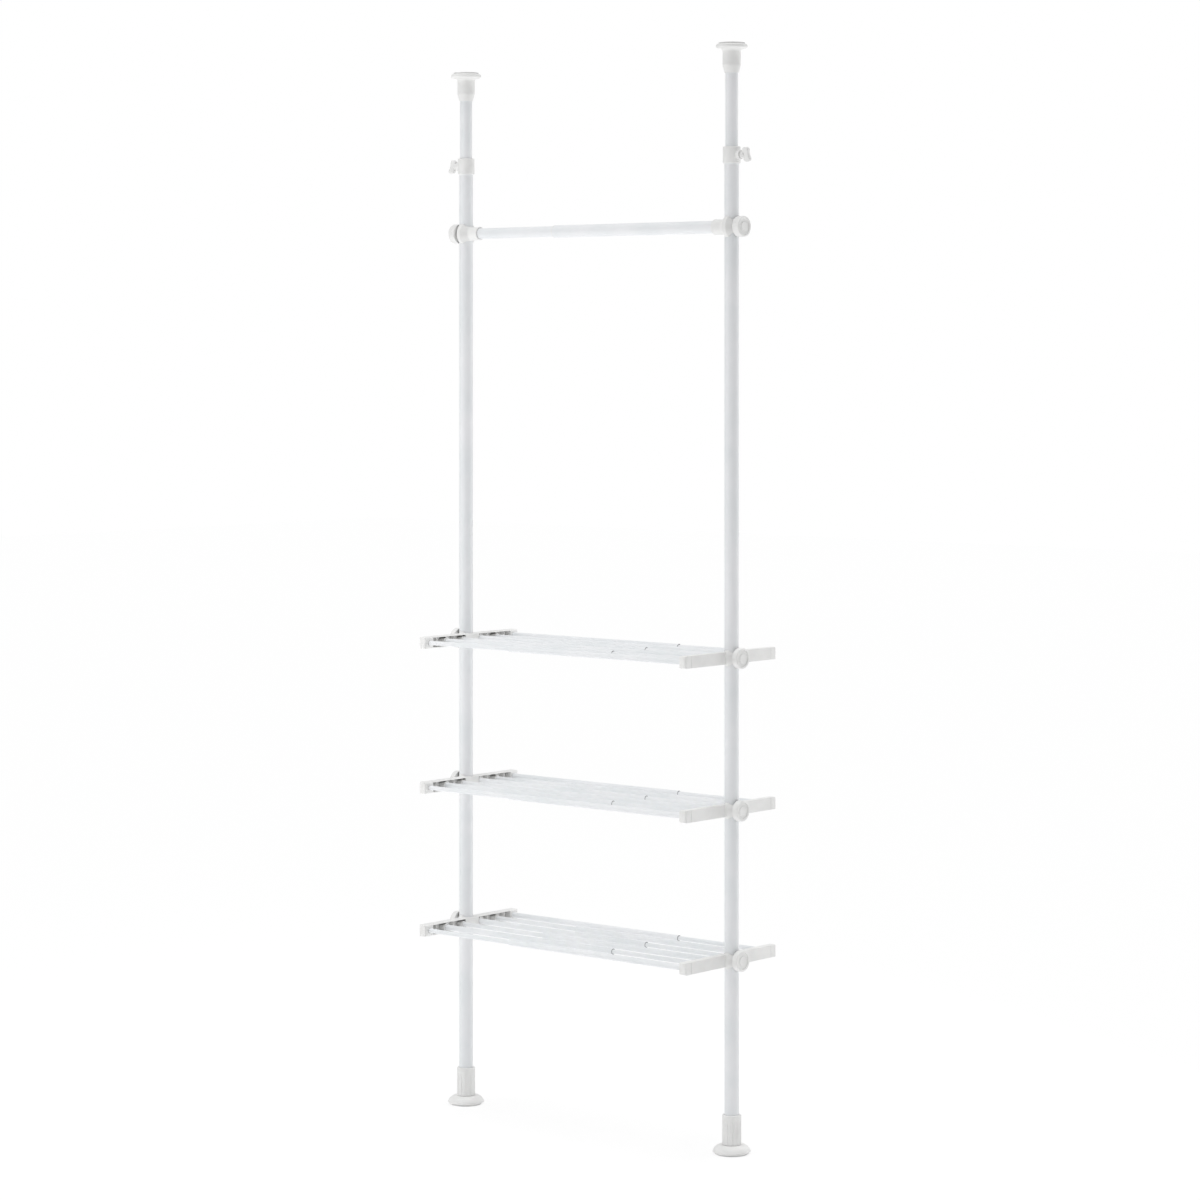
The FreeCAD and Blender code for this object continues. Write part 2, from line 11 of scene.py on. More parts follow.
import bmesh
import bpy
from bpy.props import FloatProperty, FloatVectorProperty, IntProperty, PointerProperty
from bpy.types import Operator, Panel, PropertyGroup
from mathutils import Matrix, Vector


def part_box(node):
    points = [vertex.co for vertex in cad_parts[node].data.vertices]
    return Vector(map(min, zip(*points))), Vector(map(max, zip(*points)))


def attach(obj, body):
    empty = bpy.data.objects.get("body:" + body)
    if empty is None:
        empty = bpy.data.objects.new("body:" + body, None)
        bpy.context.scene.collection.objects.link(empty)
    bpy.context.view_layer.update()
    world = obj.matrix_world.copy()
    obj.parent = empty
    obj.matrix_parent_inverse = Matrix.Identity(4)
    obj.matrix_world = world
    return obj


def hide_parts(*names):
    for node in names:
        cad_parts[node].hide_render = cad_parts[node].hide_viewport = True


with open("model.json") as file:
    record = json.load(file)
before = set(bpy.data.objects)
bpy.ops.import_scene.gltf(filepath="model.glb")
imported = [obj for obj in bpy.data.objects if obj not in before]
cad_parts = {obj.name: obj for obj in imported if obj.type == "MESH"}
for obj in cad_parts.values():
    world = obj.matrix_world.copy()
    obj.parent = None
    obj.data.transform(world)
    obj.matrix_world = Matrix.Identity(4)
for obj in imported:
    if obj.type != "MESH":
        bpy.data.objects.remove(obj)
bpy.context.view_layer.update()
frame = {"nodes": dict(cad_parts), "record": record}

bl_info = {
    "name": "Tension pole shelf unit",
    "version": (1, 0, 0),
    "blender": (4, 5, 0),
    "location": "3D View > Sidebar > Shelf unit",
    "description": "Builds the finished pieces of a tension pole shelf unit on its packed frame",
    "category": "Object",
}

MM = 0.001
TAU = 2 * math.pi
FIT = 0.05 * MM      # room all round a piece that is pressed in
SLIDE = 0.1 * MM     # room all round a piece that slides or turns
AIR = 0.3 * MM       # between two pieces that face each other
SCREW, TUBE, PIECE, HUB, SLEEVE = 48, 64, 96, 192, 384      # facets round a turned shape
SIDES = ("left", "right")
SHELVES = ("lower", "middle", "upper")
BODY_OF = {node: body for body, nodes in frame["record"]["behaviour"]["bodies"].items()
           for node in nodes}


# ---- Properties
def length(name, description, millimetres):
    """A length property whose default is given in millimetres."""
    return FloatProperty(name=name, description=description, default=millimetres * MM,
                         unit="LENGTH", precision=5)


def colour(name, description, code):
    """A colour property whose default is an sRGB hex value."""
    return FloatVectorProperty(name=name, description=description, default=linear(code),
                               subtype="COLOR", size=3, min=0.0, max=1.0)


def linear(code):
    """Linear RGB of an sRGB hex value."""
    channels = [int(code[i:i + 2], 16) / 255 for i in (1, 3, 5)]
    return [c / 12.92 if c <= 0.04045 else ((c + 0.055) / 1.055) ** 2.4 for c in channels]


def strength(name, description, default):
    """How strong a light is."""
    return FloatProperty(name=name, description=description, default=default, min=0.0)


class PoleSizes(PropertyGroup):
    """Steel tubes of the poles."""
    outer: length("Outer tube", "Its diameter", 32)
    inner: length("Inner tube", "Its diameter", 28)
    wall: length("Wall", "Wall of both tubes", 1.2)
    swage: length("Swage", "Diameter of the inner tube's widened foot", 29.4)
    swage_length: length("Swage length", "Length of that foot", 30)
    swage_cone: length("Swage cone", "Length of the cone over it", 2.1)
    cut_edge: length("Cut edge", "Rounding of a tube's cut end", 0.3)


class CapSizes(PropertyGroup):
    """Top cap and its pad."""
    disc: length("Disc", "Its diameter", 70)
    rim: length("Rim", "Thickness of the disc at its round rim", 10)
    sleeve: length("Sleeve", "Its diameter", 40)
    mouth: length("Mouth", "Diameter of the sleeve's lower end", 31)
    taper: length("Taper", "Height of the sleeve's tapered end", 16)
    flare: length("Flare", "Radius between sleeve and disc", 8)
    socket: length("Socket", "How far the inner tube stands in the cap", 48)
    pad: length("Pad", "Diameter of the rubber pad", 58)
    recess: length("Recess", "Depth of the pad's seat", 1)


class CollarSizes(PropertyGroup):
    """Height collar and its wing screw."""
    diameter: length("Collar", "Its diameter", 39)
    edge: length("Edge", "Rounding of the collar's edges", 1.8)
    seat: length("Seat", "How far the outer tube stands in the collar", 11.05)
    boss: length("Boss", "Diameter of the boss", 21)
    boss_proud: length("Boss height", "From the collar to the boss's face", 6.5)
    screw: length("Screw", "Diameter of the shank", 6)
    neck: length("Neck", "Diameter of the neck", 15)
    neck_length: length("Neck length", "From the boss to the paddle", 6.5)
    paddle: length("Paddle", "Its height", 32)
    paddle_thickness: length("Paddle thickness", "Its thickness", 9)
    paddle_corner: length("Paddle corner", "Radius of its corners", 6)
    paddle_dip: length("Paddle dip", "Hollow in its outer edge", 2.5)
    paddle_edge: length("Paddle edge", "Rounding of its long edges", 2.4)
    tilt: FloatProperty(name="Tilt", description="Where the paddle stopped when it was tightened",
                        default=math.radians(17), subtype="ANGLE")


class FootSizes(PropertyGroup):
    """Foot jack: sleeve, disc with its stem, and pad."""
    sleeve: length("Sleeve", "Diameter of the fluted sleeve", 42)
    nut: length("Nut", "Height of the nut in the sleeve's floor", 22)
    band: length("Band", "Plain band over the flutes", 12)
    flutes: IntProperty(name="Flutes", description="Flutes round the sleeve", default=12, min=3)
    flute_radius: length("Flute radius", "Radius of a flute's hollow", 1.8)
    flute_depth: length("Flute depth", "Depth of a flute", 1.1)
    disc: length("Disc", "Its diameter at its widest", 84)
    widest: length("Widest", "Height of the disc's widest line", 5.5)
    crown: length("Crown", "Diameter of the disc's flat top", 44)
    crown_height: length("Crown height", "Height of that top", 20)
    bulge: length("Bulge", "How far the dome stands out over a cone", 3)
    lip: length("Lip", "Height over the floor of the wall round the pad", 1.2)
    pad: length("Pad", "Diameter of the rubber pad", 72)
    stem: length("Stem", "Diameter over the thread", 18)
    thread_depth: length("Thread depth", "Depth of the thread", 1)
    thread_lead: length("Thread lead", "Rise in one turn", 5)


class ClampSizes(PropertyGroup):
    """Clamp hub and knob, shared by the arms and the rod holders."""
    arm_hub: length("Arm's hub", "Its diameter", 48)
    rod_hub: length("Rod's hub", "Its diameter", 56)
    knob: length("Knob", "Its diameter", 45.5)
    start: length("Start", "Where the full-size drum starts, along u", -5)
    shoulder: length("Shoulder", "Where the drum ends, along u", 4)
    neck: length("Neck", "Diameter of the hub's neck", 29)
    boss: length("Boss", "Diameter of the boss round the screw", 19)
    boss_reach: length("Boss reach", "From the pole to the boss's end", 9.5)
    insert: length("Insert", "Diameter of the thread insert", 13)
    insert_length: length("Insert length", "Length of the thread insert", 7)
    room: length("Room", "Clearance between hub and pole", 0.5)
    screw: length("Screw", "Its diameter", 8)
    skirt: length("Skirt", "Diameter of the knob's narrow end", 27)
    skirt_reach: length("Skirt reach", "From the pole to that end", 0.8)
    rim_reach: length("Rim reach", "From the pole to the knob's full size", 2.2)
    edge: length("Edge", "Rounding of the knob's face", 1.8)
    dish: length("Dish", "Diameter of the hollow in the knob's face", 37)
    dish_depth: length("Dish depth", "Depth of that hollow", 2.5)
    button: length("Button", "Diameter of the dish's raised middle", 20)
    button_drop: length("Button drop", "From the knob's face down to it", 1)


class ShelfSizes(PropertyGroup):
    """Bars and arms of a shelf."""
    bars: IntProperty(name="Bars", description="Bars in a shelf", default=6, min=2)
    pitch: length("Pitch", "Between two bars", 57.7)
    tube: length("Thick tube", "Its diameter", 13)
    tube_wall: length("Thick tube's wall", "Its thickness", 1.2)
    rod: length("Thin tube", "Its diameter", 10)
    rod_wall: length("Thin tube's wall", "Its thickness", 0.8)
    arm_length: length("Arm length", "Depth of the shelf", 320)
    arm_height: length("Arm height", "Height of the arm", 27)
    arm_depth: length("Arm thickness", "Along u", 20)
    plate: length("Plate", "Outer wall of the arm's channel", 3)
    flange: length("Flange", "Upper and lower wall of the channel", 2.6)
    rib: length("Rib", "Thickness of a rib", 1.6)
    middle: length("Middle", "Half length of the arm's solid middle", 23)
    end_block: length("End block", "Length of the arm's solid end", 27)
    corner: length("Corner", "Radius of the edges towards the shelf and at the ends", 5)
    edge: length("Edge", "Rounding of the outer edges", 0.9)
    socket_floor: length("Socket floor", "From the outer face to the end of a bar", 4)
    socket_wall: length("Socket wall", "Wall of the boss round a bar", 2.6)
    groove: length("Groove", "From the arm's end to its shallow line", 20)
    groove_width: length("Groove width", "Width of that line", 0.8)
    groove_depth: length("Groove depth", "Depth of that line", 0.5)


class ClothesRodSizes(PropertyGroup):
    """Clothes rod and its holders."""
    thick: length("Thick tube", "Its diameter", 28)
    thick_wall: length("Thick tube's wall", "Its thickness", 1.2)
    thin: length("Thin tube", "Its diameter", 24.5)
    thin_wall: length("Thin tube's wall", "Its thickness", 1)
    cup_wall: length("Cup wall", "Wall of the cup over the rod", 3)
    cup_reach: length("Cup reach", "From the pole to the cup's mouth", 29)
    cup_floor: length("Cup floor", "From the pole to the cup's floor", 4.5)
    cup_flare: length("Cup flare", "From the pole to where the cup widens", 2)
    lip: length("Lip", "Length of the cup's lip", 3)
    lip_proud: length("Lip height", "How far the lip stands out", 0.5)
    bush_flange: length("Bush flange", "Length of the bush's flange", 2.5)


class Finishes(PropertyGroup):
    """Colours of the finishes."""
    coat: colour("Powder coat", "Satin powder coat on the steel tubes", "#E9EAEC")
    coat_shade: colour("Powder coat's shade", "Where the coat lies thinner", "#E2E5E7")
    moulding: colour("Mouldings", "White polypropylene", "#EBEBEA")
    moulding_shade: colour("Mouldings' shade", "Flow marks in the polypropylene", "#E4E4E3")
    # Painted shade: the tone that the narrow gaps are darkened towards, where ambient occlusion
    # finds them.
    painted_gap_shade: colour("Painted gap shade", "Dust in narrow gaps", "#7D7C79")
    bare_steel: colour("Bare steel", "Sawn ends and insides of the tubes", "#66696B")
    rubber: colour("Rubber", "Non-slip rubber of the pads", "#D1D1D0")
    rubber_shade: colour("Rubber's bloom", "Dusty bloom on the rubber", "#DADAD9")
    brass: colour("Brass", "Turned brass of the thread inserts", "#D1B06B")
    floor: colour("Floor", "Pale studio floor", "#FAFAFA")


class StageSettings(PropertyGroup):
    """Camera and light."""
    lens: FloatProperty(name="Lens", description="Focal length on a 36 mm sensor", default=106.1,
                        min=1.0, unit="CAMERA")
    shift: FloatProperty(name="Shift", description="Vertical shift of the level camera",
                         default=-0.2127)
    eye: FloatVectorProperty(name="Eye", description="Where the camera stands",
                             default=(5.172, -6.065, 1.764), subtype="TRANSLATION", unit="LENGTH")
    heading: FloatProperty(name="Heading", description="Turn of the camera about the vertical",
                           default=math.radians(40.37), subtype="ANGLE")
    room_light: strength("Room light", "Strength of the even light", 0.46)
    overhead_light: strength("Overhead light", "What it adds to the even light on the paper", 0.56)
    key_light: strength("Key light", "Power of the front soft box, in watts", 12.8)
    rim_light: strength("Rim light", "Power of the back soft box, in watts", 12.6)


class ShelfUnit(PropertyGroup):
    """Everything that a user would change."""
    poles: PointerProperty(type=PoleSizes)
    caps: PointerProperty(type=CapSizes)
    collars: PointerProperty(type=CollarSizes)
    feet: PointerProperty(type=FootSizes)
    clamps: PointerProperty(type=ClampSizes)
    shelves: PointerProperty(type=ShelfSizes)
    clothes_rod: PointerProperty(type=ClothesRodSizes)
    finishes: PointerProperty(type=Finishes)
    stage: PointerProperty(type=StageSettings)


# ---- Nodes
MATH, VECTORS, TO_RANGE = "ShaderNodeMath", "ShaderNodeVectorMath", "ShaderNodeMapRange"
FROM_XYZ, TO_XYZ = "ShaderNodeSeparateXYZ", "ShaderNodeCombineXYZ"
NOISE, BUMP = "ShaderNodeTexNoise", "ShaderNodeBump"
INPUT_KINDS = {"Geometry": "NodeSocketGeometry", "Material": "NodeSocketMaterial",
               "Count": "NodeSocketInt"}


def add(tree, kind, inputs=(), **settings):
    """Adds one node with its settings.

    Its inputs are named in a dict or listed in order. Each is a value, a socket, a node that
    gives its first output, or a list of sockets and nodes.
    """
    node = tree.nodes.new(kind)
    for name, value in settings.items():
        setattr(node, name, value)
    for key, value in inputs.items() if isinstance(inputs, dict) else enumerate(inputs):
        for source in value if isinstance(value, list) else [value]:
            if isinstance(source, bpy.types.Node):
                source = source.outputs[0]
            if isinstance(source, bpy.types.NodeSocket):
                tree.links.new(source, node.inputs[key])
            else:
                node.inputs[key].default_value = source
    return node


def geometry_tree(name, *inputs):
    """An empty geometry tree and its inputs, distances unless INPUT_KINDS says otherwise."""
    tree = bpy.data.node_groups.new(name, "GeometryNodeTree")
    tree.interface.new_socket("Geometry", in_out="OUTPUT", socket_type=INPUT_KINDS["Geometry"])
    for label in (*inputs, "Material"):
        tree.interface.new_socket(label, in_out="INPUT",
                                  socket_type=INPUT_KINDS.get(label, "NodeSocketFloat"))
    return tree, add(tree, "NodeGroupInput").outputs


def close_tree(tree, geometry, given):
    """Ends a geometry tree in real mesh with its material."""
    real = add(tree, "GeometryNodeRealizeInstances", [geometry])
    painted = add(tree, "GeometryNodeSetMaterial",
                  {"Geometry": real, "Material": given["Material"]})
    add(tree, "NodeGroupOutput", [painted])
    return tree


def round_the_axis(tree):
    """Each point's angle in turns, its radius, its height and its place without the height."""
    x, y, z = add(tree, FROM_XYZ, [add(tree, "GeometryNodeInputPosition")]).outputs
    angle = add(tree, MATH, [y, x], operation="ARCTAN2")
    turns = add(tree, MATH, [angle, TAU], operation="DIVIDE")
    flat = add(tree, TO_XYZ, [x, y])
    radius = add(tree, VECTORS, [flat], operation="LENGTH").outputs["Value"]
    return turns, radius, z, flat


def set_radius(tree, given, flat, height, radius):
    """Moves every point straight in or out to a new radius."""
    ray = add(tree, VECTORS, [flat], operation="NORMALIZE")
    out = add(tree, VECTORS, {0: ray, "Scale": radius}, operation="SCALE")
    up = add(tree, TO_XYZ, {"Z": height})
    place = add(tree, VECTORS, [out, up], operation="ADD")
    return add(tree, "GeometryNodeSetPosition",
               {"Geometry": given["Geometry"], "Position": place})


def row_of(tree, piece, count, first, pitch):
    """Copies of a piece in a row along Y."""
    start, step = (add(tree, TO_XYZ, {"Y": distance}) for distance in (first, pitch))
    places = add(tree, "GeometryNodeMeshLine",
                 {"Count": count, "Start Location": start, "Offset": step}, mode="OFFSET")
    return add(tree, "GeometryNodeInstanceOnPoints", {"Points": places, "Instance": piece})


def tube_rack_tree():
    """Equal tubes that stand side by side: a wall's section swept round a circle.

    The faces inside the wall and on its two ends are marked as bare.
    """
    tree, given = geometry_tree("Tube rack", "Length", "Diameter", "Wall", "Edge", "Count", "Pitch")
    middle = add(tree, MATH, [given["Diameter"], given["Wall"]], operation="SUBTRACT")
    radius = add(tree, MATH, [middle, 0.5], operation="MULTIPLY")
    ring = add(tree, "GeometryNodeCurvePrimitiveCircle", {"Resolution": TUBE, "Radius": radius},
               mode="RADIUS")
    section = add(tree, "GeometryNodeCurvePrimitiveQuadrilateral",
                  {"Width": given["Wall"], "Height": given["Length"]}, mode="RECTANGLE")
    eased = add(tree, "GeometryNodeFilletCurve",
                {"Curve": section, "Radius": given["Edge"], "Count": 3, "Limit Radius": True},
                mode="POLY")
    tube = add(tree, "GeometryNodeCurveToMesh", {"Curve": ring, "Profile Curve": eased})
    _, off_axis, _, _ = round_the_axis(tree)
    inside = add(tree, MATH, [off_axis, radius], operation="LESS_THAN")
    facing = add(tree, FROM_XYZ, [add(tree, "GeometryNodeInputNormal")]).outputs["Z"]
    steep = add(tree, MATH, [facing], operation="ABSOLUTE")
    sawn = add(tree, MATH, [steep, 0.5], operation="GREATER_THAN")
    bare = add(tree, MATH, [inside, sawn], operation="MAXIMUM")
    marked = add(tree, "GeometryNodeStoreNamedAttribute",
                 {"Geometry": tube, "Name": "bare", "Value": bare}, domain="FACE")
    gaps = add(tree, MATH, [given["Count"], 1.0], operation="SUBTRACT")
    width = add(tree, MATH, [gaps, given["Pitch"]], operation="MULTIPLY")
    first = add(tree, MATH, [width, -0.5], operation="MULTIPLY")
    return close_tree(tree, row_of(tree, marked, given["Count"], first, given["Pitch"]), given)


def rib_tree():
    """Ribs across the arm's channel, outward both ways from its middle."""
    tree, given = geometry_tree("Ribs", "First", "Pitch", "Count", "Depth", "Thickness", "Height")
    size = add(tree, TO_XYZ, [given["Depth"], given["Thickness"], given["Height"]])
    rib = add(tree, "GeometryNodeMeshCube", {"Size": size})
    rows = []
    for way in (1.0, -1.0):
        first, pitch = (add(tree, MATH, [given[name], way], operation="MULTIPLY")
                        for name in ("First", "Pitch"))
        rows.append(row_of(tree, rib, given["Count"], first, pitch))
    return close_tree(tree, add(tree, "GeometryNodeJoinGeometry", {"Geometry": rows}), given)


def flute_tree():
    """Flutes with ball-nosed upper ends, pressed into a turned wall."""
    tree, given = geometry_tree("Flutes", "Geometry", "Count", "Wall Radius", "Flute Radius",
                                "Depth", "Top")
    turns, radius, height, flat = round_the_axis(tree)
    phase = add(tree, MATH, [turns, given["Count"]], operation="MULTIPLY")
    share = add(tree, MATH, [phase], operation="FRACT")
    offset = add(tree, MATH, [share, 0.5], operation="SUBTRACT")
    girth = add(tree, MATH, [given["Wall Radius"], TAU], operation="MULTIPLY")
    pitch = add(tree, MATH, [girth, given["Count"]], operation="DIVIDE")
    across = add(tree, MATH, [offset, pitch], operation="MULTIPLY")
    over = add(tree, MATH, [height, given["Top"]], operation="SUBTRACT")
    beyond = add(tree, MATH, [over, 0.0], operation="MAXIMUM")
    away = add(tree, TO_XYZ, [across, beyond])
    gap = add(tree, VECTORS, [away, away], operation="DOT_PRODUCT").outputs["Value"]
    ball = add(tree, MATH, [given["Flute Radius"], 2.0], operation="POWER")
    left = add(tree, MATH, [ball, gap], operation="SUBTRACT")
    kept = add(tree, MATH, [left, 0.0], operation="MAXIMUM")
    chord = add(tree, MATH, [kept], operation="SQRT")
    rise = add(tree, MATH, [given["Flute Radius"], given["Depth"]], operation="SUBTRACT")
    deep = add(tree, MATH, [chord, rise], operation="SUBTRACT")
    hollow = add(tree, MATH, [deep, 0.0], operation="MAXIMUM")
    wall = add(tree, MATH, [given["Wall Radius"], hollow], operation="SUBTRACT")
    lower = add(tree, MATH, [radius, wall], operation="MINIMUM")
    return close_tree(tree, set_radius(tree, given, flat, height, lower), given)


def thread_tree():
    """Right-hand thread with flat crests and roots on a stem, chamfered at its tip."""
    half_root, half_crest = 0.15, 0.35      # where the flank starts and ends, in leads
    tree, given = geometry_tree("Thread", "Geometry", "Root", "Crest", "Lead", "Tip", "Chamfer")
    turns, radius, height, flat = round_the_axis(tree)
    rise = add(tree, MATH, [height, given["Lead"]], operation="DIVIDE")
    phase = add(tree, MATH, [rise, turns], operation="SUBTRACT")
    share = add(tree, MATH, [phase], operation="FRACT")
    offset = add(tree, MATH, [share, 0.5], operation="SUBTRACT")
    side = add(tree, MATH, [offset], operation="ABSOLUTE")
    level = add(tree, TO_RANGE, {"Value": side, "From Min": half_root, "From Max": half_crest,
                                 "To Min": given["Root"], "To Max": given["Crest"]})
    under = add(tree, MATH, [given["Tip"], height], operation="SUBTRACT")
    bevel = add(tree, MATH, [under, given["Chamfer"]], operation="SUBTRACT")
    spare = add(tree, MATH, [bevel, 0.0], operation="MINIMUM")
    cone = add(tree, MATH, [given["Crest"], spare], operation="ADD")
    least = add(tree, MATH, [level, cone], operation="MINIMUM")
    inside = add(tree, MATH, [radius, least], operation="MINIMUM")
    return close_tree(tree, set_radius(tree, given, flat, height, inside), given)


TREES = {}


def tree_of(maker):
    """A geometry tree, built when it is first asked for."""
    if maker not in TREES:
        TREES[maker] = maker()
    return TREES[maker]


# ---- Finishes
def principled(name):
    """A new material with its tree, its shader, and the position that its patterns follow."""
    material = bpy.data.materials.new(name)
    material.use_nodes = True
    tree = material.node_tree
    shader = next(n for n in tree.nodes if n.type == "BSDF_PRINCIPLED")
    return material, tree, shader, add(tree, "ShaderNodeTexCoord").outputs["Object"]


def two_tone(tree, shader, place, tones, cell, **noise):
    """Base colour that drifts between two tones over patches of one size."""
    patches = add(tree, NOISE, {"Vector": place, "Scale": 1 / cell, "Detail": 3.0, **noise})
    spread = add(tree, "ShaderNodeValToRGB", [patches])
    for stop, tone, position in zip(spread.color_ramp.elements, tones, (0.35, 0.65)):
        stop.position = position
        stop.color = (*tone, 1.0)
    tree.links.new(spread.outputs["Color"], shader.inputs["Base Color"])
    return patches


def laid_over(tree, shader, share, tone):
    """Lays one more tone over the base colour, as strongly as the share says."""
    under = shader.inputs["Base Color"].links[0].from_socket
    mixed = add(tree, "ShaderNodeMix", {0: share, 6: under, 7: (*tone, 1.0)}, data_type="RGBA")
    tree.links.new(mixed.outputs[2], shader.inputs["Base Color"])


def paint_shade_in_gaps(tree, shader, place, tone):
    """Painted shade: the base colour darkens towards a tone in the narrow gaps between the pieces,
    where ambient occlusion finds them closed in; none is painted close to the floor.
    """
    reach, tight, airy = 14 * MM, 0.05, 0.5      # how far a gap is felt, and how open it is
    # Heights over the floor: below the first no shade is painted, from the second all of it.
    unshaded_height, fully_shaded_height = 12 * MM, 22 * MM              # heights over the floor
    room = add(tree, "ShaderNodeAmbientOcclusion", {"Distance": reach}, samples=16).outputs["AO"]
    painted_gap_shade = add(tree, TO_RANGE, {"Value": room, "From Min": tight, "From Max": airy,
                                "To Min": 1.0, "To Max": 0.0})
    height = add(tree, FROM_XYZ, [place]).outputs["Z"]
    lifted = add(tree, TO_RANGE, {"Value": height, "From Min": unshaded_height, "From Max": fully_shaded_height})
    share = add(tree, MATH, [painted_gap_shade, lifted], operation="MULTIPLY")
    laid_over(tree, shader, share, tone)


def surface(tree, shader, sheen, roughness, relief, strength, depth, **fixed):
    """Roughness that follows one pattern, relief that follows another, and fixed inputs."""
    low, high = roughness
    rough = add(tree, TO_RANGE, {"Value": sheen, "To Min": low, "To Max": high})
    bump = add(tree, BUMP, {"Strength": strength, "Distance": depth, "Height": relief})
    tree.links.new(rough.outputs[0], shader.inputs["Roughness"])
    tree.links.new(bump.outputs[0], shader.inputs["Normal"])
    for name, value in fixed.items():
        shader.inputs[name].default_value = value


def powder_coat(finishes):
    """Satin polyester powder coat on steel tube, baked on.

    It levels into a soft orange peel, so highlights run along the tube with a faint ripple. The
    peel of 1.5 mm is drawn at 3 mm, because the real one is too fine to show. The tube was sawn
    after it was coated, so its ends and its inside are dull bare steel.
    """
    material, tree, shader, place = principled("Satin powder coat")
    two_tone(tree, shader, place, (finishes.coat_shade, finishes.coat), 90 * MM)
    bare = add(tree, "ShaderNodeAttribute", attribute_name="bare").outputs["Fac"]
    laid_over(tree, shader, bare, finishes.bare_steel)
    # Painted shade: the coat's colour darkens in narrow gaps, as at the hubs' bores and the tube
    # mouths.
    paint_shade_in_gaps(tree, shader, place, finishes.painted_gap_shade)
    peel = add(tree, NOISE, {"Vector": place, "Scale": 1 / (3 * MM), "Detail": 2.0,
                             "Roughness": 0.45})
    surface(tree, shader, peel, (0.36, 0.46), peel, strength=0.35, depth=0.04 * MM, IOR=1.5)
    return material


def polypropylene(finishes):
    """White polypropylene, injection moulded in a spark-eroded tool.

    The tool leaves a fine matt grain, and the melt leaves faint flow marks. The grain of 0.3 mm
    is drawn at 0.9 mm, because the real one is too fine to show. The narrow gaps get painted
    shade: their colour is darkened.
    """
    material, tree, shader, place = principled("Moulded polypropylene")
    flow = two_tone(tree, shader, place, (finishes.moulding_shade, finishes.moulding), 45 * MM,
                    Distortion=0.6)
    # Painted shade: the moulding's colour darkens in narrow gaps between the pieces.
    paint_shade_in_gaps(tree, shader, place, finishes.painted_gap_shade)
    grain = add(tree, NOISE, {"Vector": place, "Scale": 1 / (0.9 * MM), "Detail": 4.0,
                              "Roughness": 0.6})
    surface(tree, shader, flow, (0.46, 0.56), grain, strength=0.4, depth=0.03 * MM, IOR=1.49)
    return material


def pad_rubber(finishes):
    """Grey thermoplastic rubber, compression moulded: dull, with a dusty bloom and a fine grain."""
    material, tree, shader, place = principled("Pad rubber")
    two_tone(tree, shader, place, (finishes.rubber, finishes.rubber_shade), 12 * MM)
    grain = add(tree, "ShaderNodeTexVoronoi", {"Vector": place, "Scale": 1 / (1.2 * MM)})
    surface(tree, shader, grain, (0.78, 0.92), grain, strength=0.6, depth=0.08 * MM, IOR=1.52)
    return material


def turned_brass(finishes):
    """Free-cutting brass, turned on a lathe: warm metal with fine tool rings.

    The rings of 0.2 mm are drawn 1.3 mm apart, because the real ones are too fine to show.
    """
    material, tree, shader, place = principled("Turned brass")
    two_tone(tree, shader, place, (finishes.brass, finishes.brass), 8 * MM)
    rings = add(tree, "ShaderNodeTexWave", {"Vector": place, "Scale": 1 / (4 * MM),
                                            "Distortion": 0.4}, bands_direction="X").outputs["Fac"]
    surface(tree, shader, rings, (0.24, 0.38), rings, strength=0.3, depth=0.02 * MM, Metallic=1.0)
    return material


def studio_floor(finishes):
    """Seamless paper sweep: matt fibre, white to the camera, with the faint shadow kept."""
    white_share = 0.8
    material = bpy.data.materials.new("Studio paper")
    material.use_nodes = True
    tree = material.node_tree
    tree.nodes.clear()
    place = add(tree, "ShaderNodeTexCoord").outputs["Object"]
    fibre = add(tree, NOISE, {"Vector": place, "Scale": 1 / (4 * MM)})
    bump = add(tree, BUMP, {"Strength": 0.1, "Distance": 0.05 * MM, "Height": fibre})
    paper = add(tree, "ShaderNodeBsdfDiffuse", {"Color": (*finishes.floor, 1.0), "Normal": bump})
    glow = add(tree, "ShaderNodeEmission", {"Color": (1.0, 1.0, 1.0, 1.0), "Strength": 1.0})
    ray = add(tree, "ShaderNodeLightPath").outputs
    seen = ray["Is Camera Ray"]
    for kind in ("Is Glossy Ray", "Is Transmission Ray"):
        seen = add(tree, MATH, [seen, ray[kind]], operation="MAXIMUM")
    share = add(tree, MATH, [seen, white_share], operation="MULTIPLY")
    mixed = add(tree, "ShaderNodeMixShader", [share, paper, glow])
    add(tree, "ShaderNodeOutputMaterial", {"Surface": mixed})
    return material


SLOTS = {"powder_coat": powder_coat, "plastic": polypropylene, "rubber": pad_rubber,
         "brass": turned_brass}
MATERIALS = {}


def finish_of(slot):
    """The material of a slot, made when it is first asked for."""
    if slot not in MATERIALS:
        MATERIALS[slot] = SLOTS[slot](bpy.context.scene.shelf_unit.finishes)
    return MATERIALS[slot]


# ---- Outlines and meshes
def rounded(*corners, steps=5):
    """Closed outline of (across, along) corners; a third value rounds the corner."""
    points = []
    for i, corner in enumerate(corners):
        here = Vector(corner[:2])
        radius = corner[2] if len(corner) > 2 else 0.0
        if radius == 0:
            points.append(tuple(here))
            continue
        back = (Vector(corners[i - 1][:2]) - here).normalized()
        ahead = (Vector(corners[(i + 1) % len(corners)][:2]) - here).normalized()
        half = back.angle(ahead) / 2
        centre = here + (back + ahead).normalized() * radius / math.sin(half)
        start = here + back * radius / math.tan(half) - centre
        end = here + ahead * radius / math.tan(half) - centre
        points.extend(swept(centre, start, end, range(steps + 1), steps))
    return points


def oblong(low, high, near, far, steps=6):
    """Rectangle between two corners, rounded by one radius on its low side, another on its high."""
    (left, bottom), (right, top) = low, high
    return rounded((left, bottom, near), (right, bottom, far), (right, top, far),
                   (left, top, near), steps=steps)


